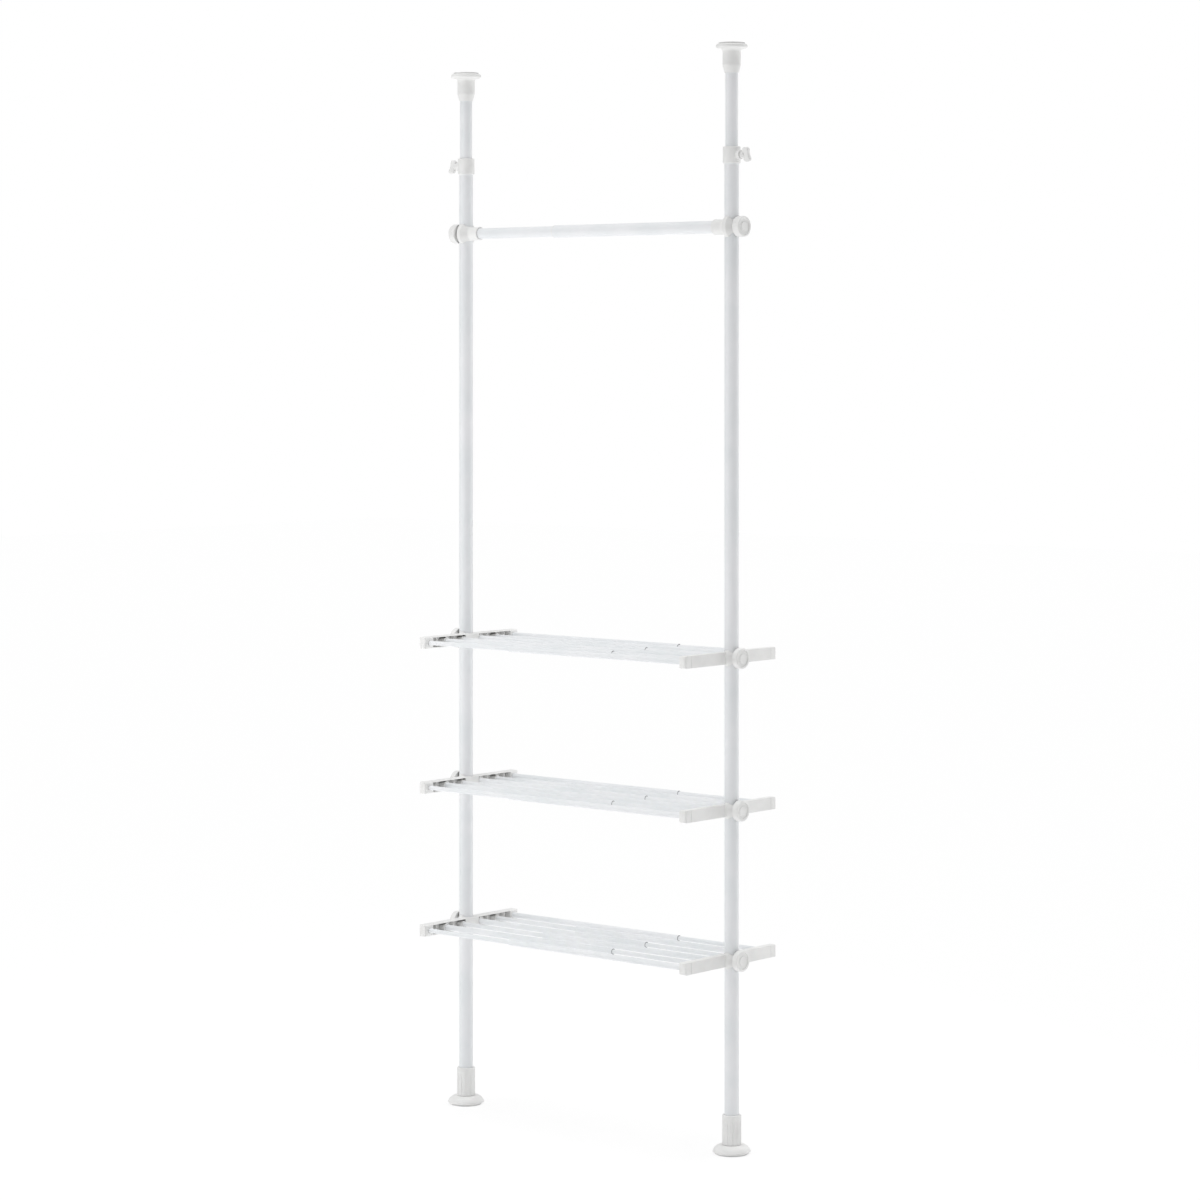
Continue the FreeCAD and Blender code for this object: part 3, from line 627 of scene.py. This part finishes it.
def arc(start, via, end, steps=10):
    """Points of the arc through three corners, without its start."""
    a, b, c = (Vector(p) for p in (start, via, end))
    d = 2 * ((b - a).x * (c - a).y - (b - a).y * (c - a).x)
    ab, ac = (b - a).length_squared, (c - a).length_squared
    offset = Vector(((c - a).y * ab - (b - a).y * ac, (b - a).x * ac - (c - a).x * ab)) / d
    centre = a + offset
    return swept(centre, a - centre, c - centre, range(1, steps + 1), steps)


def swept(centre, start, end, places, steps):
    """Points at the given steps of the arc about a centre, from one arm to another."""
    turn = math.atan2(start.x * end.y - start.y * end.x, start.dot(end))
    return [tuple(centre + Matrix.Rotation(turn * k / steps, 2) @ start) for k in places]


def mesh_of(build):
    """A mesh from the bmesh that the builder fills, merged and facing outwards."""
    shape = bmesh.new()
    build(shape)
    bmesh.ops.remove_doubles(shape, verts=shape.verts, dist=1e-7)
    bmesh.ops.recalc_face_normals(shape, faces=shape.faces)
    mesh = bpy.data.meshes.new("part")
    shape.to_mesh(mesh)
    shape.free()
    return mesh


def lathe(outline, facets=PIECE):
    """Solid turned about Z from a closed outline of (radius, height) points."""
    turns = [(math.cos(TAU * k / facets), math.sin(TAU * k / facets)) for k in range(facets)]

    def build(shape):
        rings = [[shape.verts.new((0, 0, z))] if r < 1e-9 else
                 [shape.verts.new((r * x, r * y, z)) for x, y in turns] for r, z in outline]
        for ring, upper in zip(rings, rings[1:] + rings[:1]):
            if len(ring) == len(upper) == 1:
                continue
            for k in range(facets):
                corners = [ring[k % len(ring)], ring[(k + 1) % len(ring)],
                           upper[(k + 1) % len(upper)], upper[k % len(upper)]]
                shape.faces.new(dict.fromkeys(corners))
    return mesh_of(build)


def turned(*corners, steps=5, facets=PIECE):
    """Solid turned about Z from the corners of its outline."""
    return lathe(rounded(*corners, steps=steps), facets)


def prism(outline, low, high, axis):
    """Solid between two levels of an axis, from an outline in the plane of the other two."""
    spread = {"X": lambda a, b, h: (h, a, b), "Y": lambda a, b, h: (a, h, b),
              "Z": lambda a, b, h: (a, b, h)}[axis]

    def build(shape):
        ends = [[shape.verts.new(spread(a, b, h)) for a, b in outline] for h in (low, high)]
        for end in ends:
            shape.faces.new(end)
        for k in range(len(outline)):
            shape.faces.new((ends[0][k - 1], ends[0][k], ends[1][k], ends[1][k - 1]))
    return mesh_of(build)


def lying(mesh):
    """A mesh turned about Z, laid down so that its height runs along u."""
    mesh.transform(Matrix.Rotation(math.radians(90), 4, "Y"))
    return mesh


def moved(mesh, x=0.0, y=0.0, z=0.0):
    """The same mesh, moved."""
    mesh.transform(Matrix.Translation((x, y, z)))
    return mesh


def round_bar(diameter, low, high, facets=SCREW):
    """Plain cylinder about Z."""
    return lathe([(0, low), (diameter / 2, low), (diameter / 2, high), (0, high)], facets)


def new_object(name, data):
    """A new object in the scene's own collection."""
    thing = bpy.data.objects.new(name, data)
    bpy.context.scene.collection.objects.link(thing)
    return thing


def after(mesh, *steps):
    """The mesh that a stack of modifiers leaves; each step is a type and its settings."""
    carrier = new_object("carrier", mesh)
    for kind, settings in steps:
        modifier = carrier.modifiers.new(kind, kind)
        inputs = settings.pop("inputs", {})
        for name, value in settings.items():
            setattr(modifier, name, value)
        for name, value in inputs.items():
            socket = next(s for s in modifier.node_group.interface.items_tree
                          if s.name == name and s.in_out == "INPUT")
            modifier[socket.identifier] = value
    graph = bpy.context.evaluated_depsgraph_get()
    result = bpy.data.meshes.new_from_object(carrier.evaluated_get(graph), depsgraph=graph)
    bpy.data.objects.remove(carrier)
    return result


def grown(maker, slot, mesh=None, **inputs):
    """The mesh that a geometry tree makes, from nothing or from a given mesh."""
    inputs = {name.replace("_", " "): value for name, value in inputs.items()}
    inputs["Material"] = finish_of(slot)
    base = mesh or bpy.data.meshes.new("part")
    return after(base, ("NODES", {"node_group": tree_of(maker), "inputs": inputs}))


def combined(operation, mesh, tools):
    """The mesh with every tool united to it, cut from it or crossed with it."""
    carriers = [new_object("tool", tool) for tool in tools]
    result = after(mesh, *(("BOOLEAN", {"operation": operation, "object": carrier,
                                        "solver": "MANIFOLD"}) for carrier in carriers))
    for carrier in carriers:
        bpy.data.objects.remove(carrier)
    return result


def united(mesh, *tools):
    return combined("UNION", mesh, tools)


def cut(mesh, *tools):
    return combined("DIFFERENCE", mesh, tools)


def set_out(node, mesh, slot):
    """Makes the mesh the finished piece of one CAD node, on that node's body."""
    def build(shape):
        shape.from_mesh(mesh)
        bmesh.ops.dissolve_degenerate(shape, dist=1e-6, edges=shape.edges)
    clean = mesh_of(build)
    clean.polygons.foreach_set("use_smooth", [True] * len(clean.polygons))
    clean.set_sharp_from_angle(angle=math.radians(35))
    clean.materials.append(finish_of(slot))
    final = after(clean, ("WEIGHTED_NORMAL", {"keep_sharp": True}))
    final.name = f"{node}_finished"
    piece = new_object(f"{node}_finished", final)
    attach(piece, BODY_OF[node])
    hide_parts(node)


# ---- Places
def middle_of(node):
    """Middle of a CAD node's box."""
    low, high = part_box(node)
    return (low + high) / 2


def foot_and_height(node):
    """Where a CAD node's box starts in Z, and how tall it is."""
    low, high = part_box(node)
    return low.z, high.z - low.z


def pole_at(side):
    """Where a pole's axis stands."""
    return middle_of(f"{side}_outer_tube").x


def reach_of(side, node):
    """How far a node reaches from its pole's axis, along u."""
    low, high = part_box(node)
    return high.x - pole_at(side) if side == "right" else pole_at(side) - low.x


def set_at_pole(side, node, mesh, height=0.0, slot="plastic"):
    """Sets out a copy of a mesh from the pole's own frame, on the left or the right pole."""
    placed = mesh.copy()
    if side == "left":
        placed.transform(Matrix.Rotation(math.pi, 4, "Z"))
    set_out(node, moved(placed, pole_at(side), 0.0, height), slot)


def set_tubes(node, axis, diameter, wall, count=1):
    """Sets out the steel tubes of one node, which fill its box."""
    low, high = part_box(node)
    size = high - low
    mesh = grown(tube_rack_tree, "powder_coat", Length=size["XYZ".index(axis)], Diameter=diameter,
                 Wall=wall, Edge=bpy.context.scene.shelf_unit.poles.cut_edge, Count=count,
                 Pitch=(size.y - diameter) / (count - 1) if count > 1 else 0.0)
    if axis == "X":
        lying(mesh)
    set_out(node, moved(mesh, *((low + high) / 2)), "powder_coat")


# ---- Poles
class SHELFUNIT_OT_poles(Operator):
    """Outer and inner steel tubes of both poles"""
    bl_idname = "shelfunit.poles"
    bl_label = "Poles"

    def execute(self, context):
        sizes = context.scene.shelf_unit.poles
        wide, thin, wall, edge = sizes.swage / 2, sizes.inner / 2, sizes.wall, sizes.cut_edge
        step = sizes.swage_length
        slope = step + sizes.swage_cone
        for side in SIDES:
            set_tubes(f"{side}_outer_tube", "Z", sizes.outer, wall)
            foot, top = foot_and_height(f"{side}_inner_tube")
            inner = turned(
                (wide - wall, 0, edge), (wide, 0, edge), (wide, step), (thin, slope),
                (thin, top, edge), (thin - wall, top, edge), (thin - wall, slope),
                (wide - wall, step))
            set_at_pole(side, f"{side}_inner_tube", inner, foot, "powder_coat")
        return {"FINISHED"}


class SHELFUNIT_OT_caps(Operator):
    """Top caps and the rubber pads that press on the ceiling"""
    bl_idname = "shelfunit.caps"
    bl_label = "Top caps"

    def execute(self, context):
        sizes = context.scene.shelf_unit.caps
        bore = context.scene.shelf_unit.poles.inner / 2 + FIT
        sleeve, mouth, rim = sizes.sleeve / 2, sizes.mouth / 2, sizes.rim / 2
        rim_r = sizes.disc / 2 - rim
        flare_r = sleeve + sizes.flare
        bend = sizes.flare * (1 - math.cos(math.radians(45)))
        pad_r = sizes.pad / 2
        for side in SIDES:
            foot, top = foot_and_height(f"{side}_top_cap")
            under, seat = top - sizes.rim, top - sizes.recess
            flare_foot = (sleeve, under - sizes.flare)
            cap = turned(
                (bore, 0), (mouth, 0, 0.8 * MM), (sleeve, sizes.taper, 14 * MM), flare_foot,
                *arc(flare_foot, (sleeve + bend, under - bend), (flare_r, under)),
                (rim_r, under), *arc((rim_r, under), (rim_r + rim, under + rim), (rim_r, top)),
                (pad_r + FIT, top), (pad_r + FIT, seat), (0, seat), (0, sizes.socket),
                (bore, sizes.socket))
            set_at_pole(side, f"{side}_top_cap", cap, foot)
            foot, thick = foot_and_height(f"{side}_cap_pad")
            pad = turned((0, 0), (pad_r, 0), (pad_r, thick, 0.9 * MM), (0, thick))
            set_at_pole(side, f"{side}_cap_pad", pad, foot, "rubber")
        return {"FINISHED"}


class SHELFUNIT_OT_collars(Operator):
    """Height collars and their wing screws"""
    bl_idname = "shelfunit.collars"
    bl_label = "Height collars"

    def collar(self, sizes, poles, height):
        """Collar in the pole's frame, standing on Z = 0, with its boss and hole."""
        outer, boss_r = sizes.diameter / 2, sizes.boss / 2
        seat, slide = poles.outer / 2 + FIT, poles.inner / 2 + SLIDE
        shell = turned(
            (seat, 0), (outer, 0, sizes.edge), (outer, height, sizes.edge), (slide, height),
            (slide, sizes.seat), (seat, sizes.seat))
        face, root = outer + sizes.boss_proud, seat + FIT
        boss = lying(turned((0, root), (boss_r, root), (boss_r, face, 0.8 * MM), (0, face)))
        hole = lying(round_bar(sizes.screw + 2 * SLIDE, 0, face + MM))
        return cut(united(shell, moved(boss, z=height / 2)), moved(hole, z=height / 2))

    def wing(self, sizes, poles, end):
        """Paddle-shaped screw in the pole's frame, level with Z = 0."""
        face = sizes.diameter / 2 + sizes.boss_proud
        start = face + sizes.neck_length
        half, corner, thick = sizes.paddle / 2, sizes.paddle_corner, sizes.paddle_thickness
        tip = 0.98 * corner
        dip = end - sizes.paddle_dip
        hollow = arc((end, -half + corner), (dip, 0), (end, half - corner), 16)[:-1]
        paddle = prism(rounded(
            (start, -half, corner), (end, -half, tip), *hollow, (end, half, tip),
            (start, half, corner), steps=8), -thick / 2, thick / 2, "Y")
        paddle = after(paddle, ("BEVEL", {"width": sizes.paddle_edge, "segments": 5,
                                          "limit_method": "ANGLE",
                                          "angle_limit": math.radians(60)}))
        neck_foot, neck_r = face + AIR, sizes.neck / 2
        neck = lying(turned(
            (0, neck_foot), (neck_r, neck_foot, 0.6 * MM), (neck_r, start + corner, 0.9 * corner),
            (0, start + corner), steps=8, facets=TUBE))
        screw = lying(round_bar(sizes.screw, poles.inner / 2 + AIR, start + MM))
        wing = united(paddle, united(neck, screw))
        wing.transform(Matrix.Rotation(sizes.tilt, 4, "X"))
        return wing

    def execute(self, context):
        unit = context.scene.shelf_unit
        _, height = foot_and_height("right_height_collar")
        collar = self.collar(unit.collars, unit.poles, height)
        level = middle_of("right_wing_screw").z
        wing = self.wing(unit.collars, unit.poles, reach_of("right", "right_wing_screw"))
        for side in SIDES:
            foot, _ = foot_and_height(f"{side}_height_collar")
            set_at_pole(side, f"{side}_height_collar", collar, foot)
            set_at_pole(side, f"{side}_wing_screw", wing, level)
        return {"FINISHED"}


class SHELFUNIT_OT_feet(Operator):
    """Foot jacks: fluted sleeves, domed discs with threaded stems, and rubber pads"""
    bl_idname = "shelfunit.feet"
    bl_label = "Feet"

    def sleeve(self, sizes, poles, low, high):
        """Fluted grip with the nut in its floor."""
        outer = sizes.sleeve / 2
        socket, nut = poles.outer / 2 + SLIDE, sizes.stem / 2 + SLIDE
        floor = low + sizes.nut
        nose = math.sqrt(sizes.flute_radius ** 2 - (sizes.flute_radius - sizes.flute_depth) ** 2)
        flute_top = high - sizes.band - nose
        steps = 6
        rows = [(outer, flute_top + nose * k / steps) for k in range(steps + 2)]
        body = turned(
            (nut, low), (outer, low, 0.7 * MM), *rows, (outer, high, 2 * MM),
            (socket, high, 0.4 * MM), (socket, floor), (nut, floor), facets=SLEEVE)
        return grown(flute_tree, "plastic", body, Count=sizes.flutes, Wall_Radius=outer,
                     Flute_Radius=sizes.flute_radius, Depth=sizes.flute_depth, Top=flute_top)

    def disc(self, sizes, pad_thick, tip):
        """Domed disc and its stem, standing on the floor's level."""
        wide, crown, top = sizes.disc / 2, sizes.crown / 2, sizes.crown_height
        shoulder = ((crown + wide) / 2 + sizes.bulge, (top + sizes.widest) / 2 + sizes.bulge)
        seat_r = sizes.pad / 2 + FIT
        lip_r = seat_r + MM
        dome = turned(
            (0, pad_thick), (seat_r, pad_thick), (seat_r, sizes.lip), (lip_r, sizes.lip),
            (wide, sizes.widest), *arc((wide, sizes.widest), shoulder, (crown, top), 16),
            (0, top))
        crest, root, rows = sizes.stem / 2, top - MM, 300
        wall = [(crest, root + (tip - root) * k / rows) for k in range(rows + 1)]
        stem = lathe([(0, root), *wall, (0, tip)], SCREW)
        stem = grown(thread_tree, "plastic", stem, Root=crest - sizes.thread_depth, Crest=crest,
                     Lead=sizes.thread_lead, Tip=tip, Chamfer=2 * MM)
        return united(dome, stem)

    def execute(self, context):
        unit = context.scene.shelf_unit
        sizes = unit.feet
        low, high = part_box("right_jack_sleeve")
        sleeve = self.sleeve(sizes, unit.poles, low.z, high.z)
        _, thick = foot_and_height("right_foot_pad")
        disc = self.disc(sizes, thick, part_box("right_foot_disc")[1].z)
        pad_r = sizes.pad / 2
        pad = turned((0, 0), (pad_r, 0, 0.7 * MM), (pad_r, thick), (0, thick))
        for side in SIDES:
            set_at_pole(side, f"{side}_jack_sleeve", sleeve)
            set_at_pole(side, f"{side}_foot_disc", disc)
            set_at_pole(side, f"{side}_foot_pad", pad, slot="rubber")
        return {"FINISHED"}


# ---- Clamps
def clamp_hub(sizes, drum_d, pole_r, foot, *inboard):
    """Turned hub, lying, from its inboard foot to the boss that holds the insert."""
    drum, boss = drum_d / 2, sizes.boss / 2
    end = pole_r + sizes.boss_reach
    start = inboard[0][1] if inboard else foot[1]
    return lying(turned(
        (0, start), *inboard, foot, (drum, sizes.start, 4 * MM), (drum, sizes.shoulder, 3 * MM),
        (sizes.neck / 2, pole_r - MM, 0.8 * MM), (boss, pole_r + AIR), (boss, end, 0.8 * MM),
        (0, end), steps=6, facets=HUB))


def hub_cutters(sizes, pole_r):
    """The pole's bore, the screw's hole and the insert's seat."""
    end = pole_r + sizes.boss_reach
    bore = round_bar(2 * (pole_r + sizes.room), -sizes.rod_hub, sizes.rod_hub, HUB)
    hole = lying(round_bar(sizes.screw + 2 * AIR, 0, end))
    seat = lying(round_bar(sizes.insert + 2 * FIT, end - sizes.insert_length, end + MM))
    return bore, hole, seat


def clamp_knob(sizes, pole_r, end):
    """Round knob with a cone towards the hub, a dished face with a button, and its screw."""
    rim, boss, screw = sizes.knob / 2, sizes.boss / 2 + 2 * AIR, sizes.screw / 2
    dish, button, slope = sizes.dish / 2, sizes.button / 2, 0.5 * MM
    tip = pole_r + AIR
    inside = pole_r + sizes.boss_reach + AIR
    skirt = pole_r + sizes.skirt_reach
    floor, top = end - sizes.dish_depth, end - sizes.button_drop
    return lying(turned(
        (0, tip), (screw, tip, 0.8 * MM), (screw, inside), (boss, inside), (boss, skirt),
        (sizes.skirt / 2, skirt, 0.5 * MM), (rim, pole_r + sizes.rim_reach, 1.5 * MM),
        (rim, end, sizes.edge), (dish, end, 0.7 * MM), (dish - slope, floor, 0.7 * MM),
        (button + slope, floor, 0.6 * MM), (button, top, 0.8 * MM), (0, top)))


def bar_hole(bore, mouth, floor, ease, facets=PIECE):
    """Cutter for a blind hole along u, with an eased mouth that faces the other pole."""
    return lying(lathe([(0, mouth - MM), (bore + MM + ease, mouth - MM), (bore, mouth + ease),
                        (bore, floor), (0, floor)], facets))


# ---- Clothes rod
class SHELFUNIT_OT_clothes_rod(Operator):
    """Telescoping clothes rod with its holders and clamp knobs"""
    bl_idname = "shelfunit.clothes_rod"
    bl_label = "Clothes rod"

    def holder(self, sizes, clamps, pole_r, tube):
        """Clamp hub with a lipped cup that the rod stands in."""
        cup, mouth = tube / 2 + sizes.cup_wall, -pole_r - sizes.cup_reach
        lip = cup + sizes.lip_proud
        hub = clamp_hub(
            clamps, clamps.rod_hub, pole_r, (cup, -pole_r - sizes.cup_flare, 4 * MM),
            (lip, mouth, 0.9 * MM), (lip, mouth + sizes.lip, 0.3 * MM),
            (cup, mouth + sizes.lip + sizes.lip_proud))
        socket = bar_hole(tube / 2 + FIT, mouth, -pole_r - sizes.cup_floor, 0.5 * MM)
        return cut(hub, *hub_cutters(clamps, pole_r), socket)

    def bush(self, sizes, start, end):
        """Ring in the mouth of the thick tube; Z runs along it from its flange."""
        flange, bore = sizes.thick / 2, sizes.thin / 2 + SLIDE
        spigot, step = flange - sizes.thick_wall - FIT, start + sizes.bush_flange
        return turned((bore, start, 0.4 * MM), (flange, start, 0.6 * MM), (flange, step),
                      (spigot, step), (spigot, end), (bore, end))

    def execute(self, context):
        unit = context.scene.shelf_unit
        sizes, pole_r = unit.clothes_rod, unit.poles.outer / 2
        height = middle_of("rod_right_knob").z
        for side, tube in zip(SIDES, (sizes.thin, sizes.thick)):
            holder = self.holder(sizes, unit.clamps, pole_r, tube)
            set_at_pole(side, f"rod_{side}_holder", holder, height)
            knob = clamp_knob(unit.clamps, pole_r, reach_of(side, f"rod_{side}_knob"))
            set_at_pole(side, f"rod_{side}_knob", knob, height)
        set_tubes("rod_left_thin_tube", "X", sizes.thin, sizes.thin_wall)
        set_tubes("rod_right_thick_tube", "X", sizes.thick, sizes.thick_wall)
        low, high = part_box("rod_right_bush")
        bush = lying(self.bush(sizes, low.x, high.x))
        set_out("rod_right_bush", moved(bush, z=height), "plastic")
        return {"FINISHED"}


# ---- Shelves
class SHELFUNIT_OT_shelves(Operator):
    """Three bar shelves with their ribbed arms and clamp knobs"""
    bl_idname = "shelfunit.shelves"
    bl_label = "Shelves"

    def channel(self, sizes, half_y, half_z, depth):
        """The arm's bar, rounded at its edges and ends and hollow on both sides of its middle."""
        corner = sizes.corner
        bar = prism(oblong((-depth, -half_z), (0, half_z), corner, sizes.edge),
                    -half_y - MM, half_y + MM, "Y")
        plan = prism(oblong((-depth, -half_y), (0, half_y), corner, corner),
                     -half_z - MM, half_z + MM, "Z")
        side = prism(oblong((-half_y, -half_z), (half_y, half_z), corner, corner),
                     -depth - MM, MM, "X")
        pocket_z = half_z - sizes.flange
        pockets = []
        for way in (-1, 1):
            low, high = sorted((way * sizes.middle, way * (half_y - sizes.end_block)))
            pockets.append(prism(oblong((low, -pocket_z), (high, pocket_z), MM, MM, steps=3),
                                 -depth - MM, -sizes.plate, "X"))
        return cut(combined("INTERSECT", bar, [plan, side]), *pockets)

    def arm(self, sizes, clamps, pole_r):
        """Bracket arm: ribbed channel, bar sockets and clamp hub in one moulding."""
        half_y, half_z, depth = sizes.arm_length / 2, sizes.arm_height / 2, sizes.arm_depth
        bar = self.channel(sizes, half_y, half_z, depth)
        rib_depth = depth - sizes.corner - sizes.plate / 2
        pitch = sizes.pitch / 2
        ribs = grown(rib_tree, "plastic", First=pitch, Pitch=pitch,
                     Count=int((half_y - sizes.end_block) / pitch), Depth=rib_depth,
                     Thickness=sizes.rib, Height=sizes.arm_height - sizes.flange)
        moved(ribs, x=-sizes.plate / 2 - rib_depth / 2)
        hub = clamp_hub(clamps, clamps.arm_hub, pole_r, (half_z, -depth + sizes.corner))
        bosses, cutters = [], list(hub_cutters(clamps, pole_r))
        root = -sizes.plate / 2
        for i in range(sizes.bars):
            y = sizes.pitch * ((sizes.bars - 1) / 2 - i)
            radius = (sizes.tube if i % 2 else sizes.rod) / 2
            if abs(y) < half_y - sizes.end_block:
                outer = radius + sizes.socket_wall
                boss = turned((0, -depth), (outer, -depth, 0.5 * MM), (outer, root), (0, root),
                              facets=TUBE)
                bosses.append(moved(lying(boss), y=y))
            hole = bar_hole(radius + FIT, -depth, -sizes.socket_floor, 0.4 * MM, TUBE)
            cutters.append(moved(hole, y=y))
        for way in (-1, 1):
            middle = way * (half_y - sizes.groove)
            low, high = middle - sizes.groove_width / 2, middle + sizes.groove_width / 2
            cutters.append(prism(oblong((-sizes.groove_depth, low), (MM, high), 0, 0),
                                 -half_z - MM, half_z + MM, "Z"))
        return cut(united(bar, ribs, *bosses, hub), *cutters)

    def execute(self, context):
        unit = context.scene.shelf_unit
        sizes, pole_r = unit.shelves, unit.poles.outer / 2
        arm = self.arm(sizes, unit.clamps, pole_r)
        knob = clamp_knob(unit.clamps, pole_r, reach_of("right", "lower_right_knob"))
        for name in SHELVES:
            height = middle_of(f"{name}_right_arm").z
            for side in SIDES:
                piece = f"{name}_{side}"
                set_at_pole(side, f"{piece}_arm", arm, height)
                set_at_pole(side, f"{piece}_knob", knob, height)
                for kind, diameter, wall in (("tubes", sizes.tube, sizes.tube_wall),
                                             ("rods", sizes.rod, sizes.rod_wall)):
                    set_tubes(f"{piece}_{kind}", "X", diameter, wall, sizes.bars // 2)
        return {"FINISHED"}


class SHELFUNIT_OT_inner_pieces(Operator):
    """Finish for the pieces that keep their own solid: end plugs and thread inserts"""
    bl_idname = "shelfunit.inner_pieces"
    bl_label = "Inner pieces"

    def execute(self, context):
        slots = {part["node"]: part["material_slot"] for part in frame["record"]["subparts"]}
        for name, node in frame["nodes"].items():
            if name.endswith(("_end_plug", "_insert")):
                node.data.materials.clear()
                node.data.materials.append(finish_of(slots[name]))
        return {"FINISHED"}


# ---- Stage
class SHELFUNIT_OT_stage(Operator):
    """Paper floor, even room light, overhead light, two soft boxes, and the camera"""
    bl_idname = "shelfunit.stage"
    bl_label = "Stage"

    def soft_box(self, name, heading, distance, power):
        """Upright box near the unit; its heading is counted from the front towards +X."""
        width, height, middle = 1.6, 3.0, 1.6
        light = bpy.data.lights.new(name, "AREA")
        light.shape = "RECTANGLE"
        light.size, light.size_y = width, height
        light.energy = power
        lamp = new_object(name, light)
        lamp.location = (math.sin(heading) * distance, -math.cos(heading) * distance, middle)
        lamp.rotation_euler = (math.radians(90), 0.0, heading)
        lamp.visible_camera = False

    def overhead(self, share):
        """Wide light from straight above, for the paper and the faces that look up."""
        light = bpy.data.lights.new("overhead", "SUN")
        light.angle = math.radians(40)
        light.energy = math.pi * share
        new_object("overhead", light)

    def room(self, strength):
        """Even white light; the camera sees plain white."""
        world = bpy.data.worlds.new("Room")
        bpy.context.scene.world = world
        world.use_nodes = True
        tree = world.node_tree
        tree.nodes.clear()
        seen = add(tree, "ShaderNodeLightPath").outputs["Is Camera Ray"]
        lit, shown = (add(tree, "ShaderNodeBackground",
                          {"Color": (1.0, 1.0, 1.0, 1.0), "Strength": level})
                      for level in (strength, 1.0))
        mixed = add(tree, "ShaderNodeMixShader", [seen, lit, shown])
        add(tree, "ShaderNodeOutputWorld", {"Surface": mixed})

    def execute(self, context):
        scene = context.scene
        stage, finishes = scene.shelf_unit.stage, scene.shelf_unit.finishes
        reach, sheet_thick = 20.0, 0.02
        sheet = prism(oblong((-reach, -reach), (reach, reach), 0, 0), -sheet_thick, 0.0, "Z")
        sheet.materials.append(studio_floor(finishes))
        floor = new_object("floor", sheet)
        self.room(stage.room_light)
        self.overhead(stage.overhead_light)
        self.soft_box("key", math.radians(-32), 1.8, stage.key_light)
        self.soft_box("rim", math.radians(155), 1.6, stage.rim_light)
        view = bpy.data.cameras.new("camera")
        view.lens = stage.lens
        view.sensor_width = 36.0
        view.shift_y = stage.shift
        view.clip_end = 100.0
        camera = new_object("camera", view)
        camera.location = stage.eye
        camera.rotation_euler = (math.radians(90), 0.0, stage.heading)
        scene.camera = camera
        scene.view_settings.view_transform = "Standard"
        return {"FINISHED"}


STEPS = (SHELFUNIT_OT_poles, SHELFUNIT_OT_caps, SHELFUNIT_OT_collars, SHELFUNIT_OT_feet,
         SHELFUNIT_OT_clothes_rod, SHELFUNIT_OT_shelves, SHELFUNIT_OT_inner_pieces,
         SHELFUNIT_OT_stage)


class SHELFUNIT_PT_panel(Panel):
    """Lists the steps that build the shelf unit"""
    bl_idname = "SHELFUNIT_PT_panel"
    bl_label = "Shelf unit"
    bl_space_type = "VIEW_3D"
    bl_region_type = "UI"
    bl_category = "Shelf unit"

    def draw(self, context):
        for step in STEPS:
            self.layout.operator(step.bl_idname)


CLASSES = (PoleSizes, CapSizes, CollarSizes, FootSizes, ClampSizes, ShelfSizes, ClothesRodSizes,
           Finishes, StageSettings, ShelfUnit, *STEPS, SHELFUNIT_PT_panel)


def register():
    for kind in CLASSES:
        bpy.utils.register_class(kind)
    bpy.types.Scene.shelf_unit = PointerProperty(type=ShelfUnit)


def unregister():
    del bpy.types.Scene.shelf_unit
    for kind in reversed(CLASSES):
        bpy.utils.unregister_class(kind)


def main():
    """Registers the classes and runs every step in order."""
    register()
    for step in STEPS:
        group, name = step.bl_idname.split(".")
        getattr(getattr(bpy.ops, group), name)()


if __name__ == "__main__":
    main()
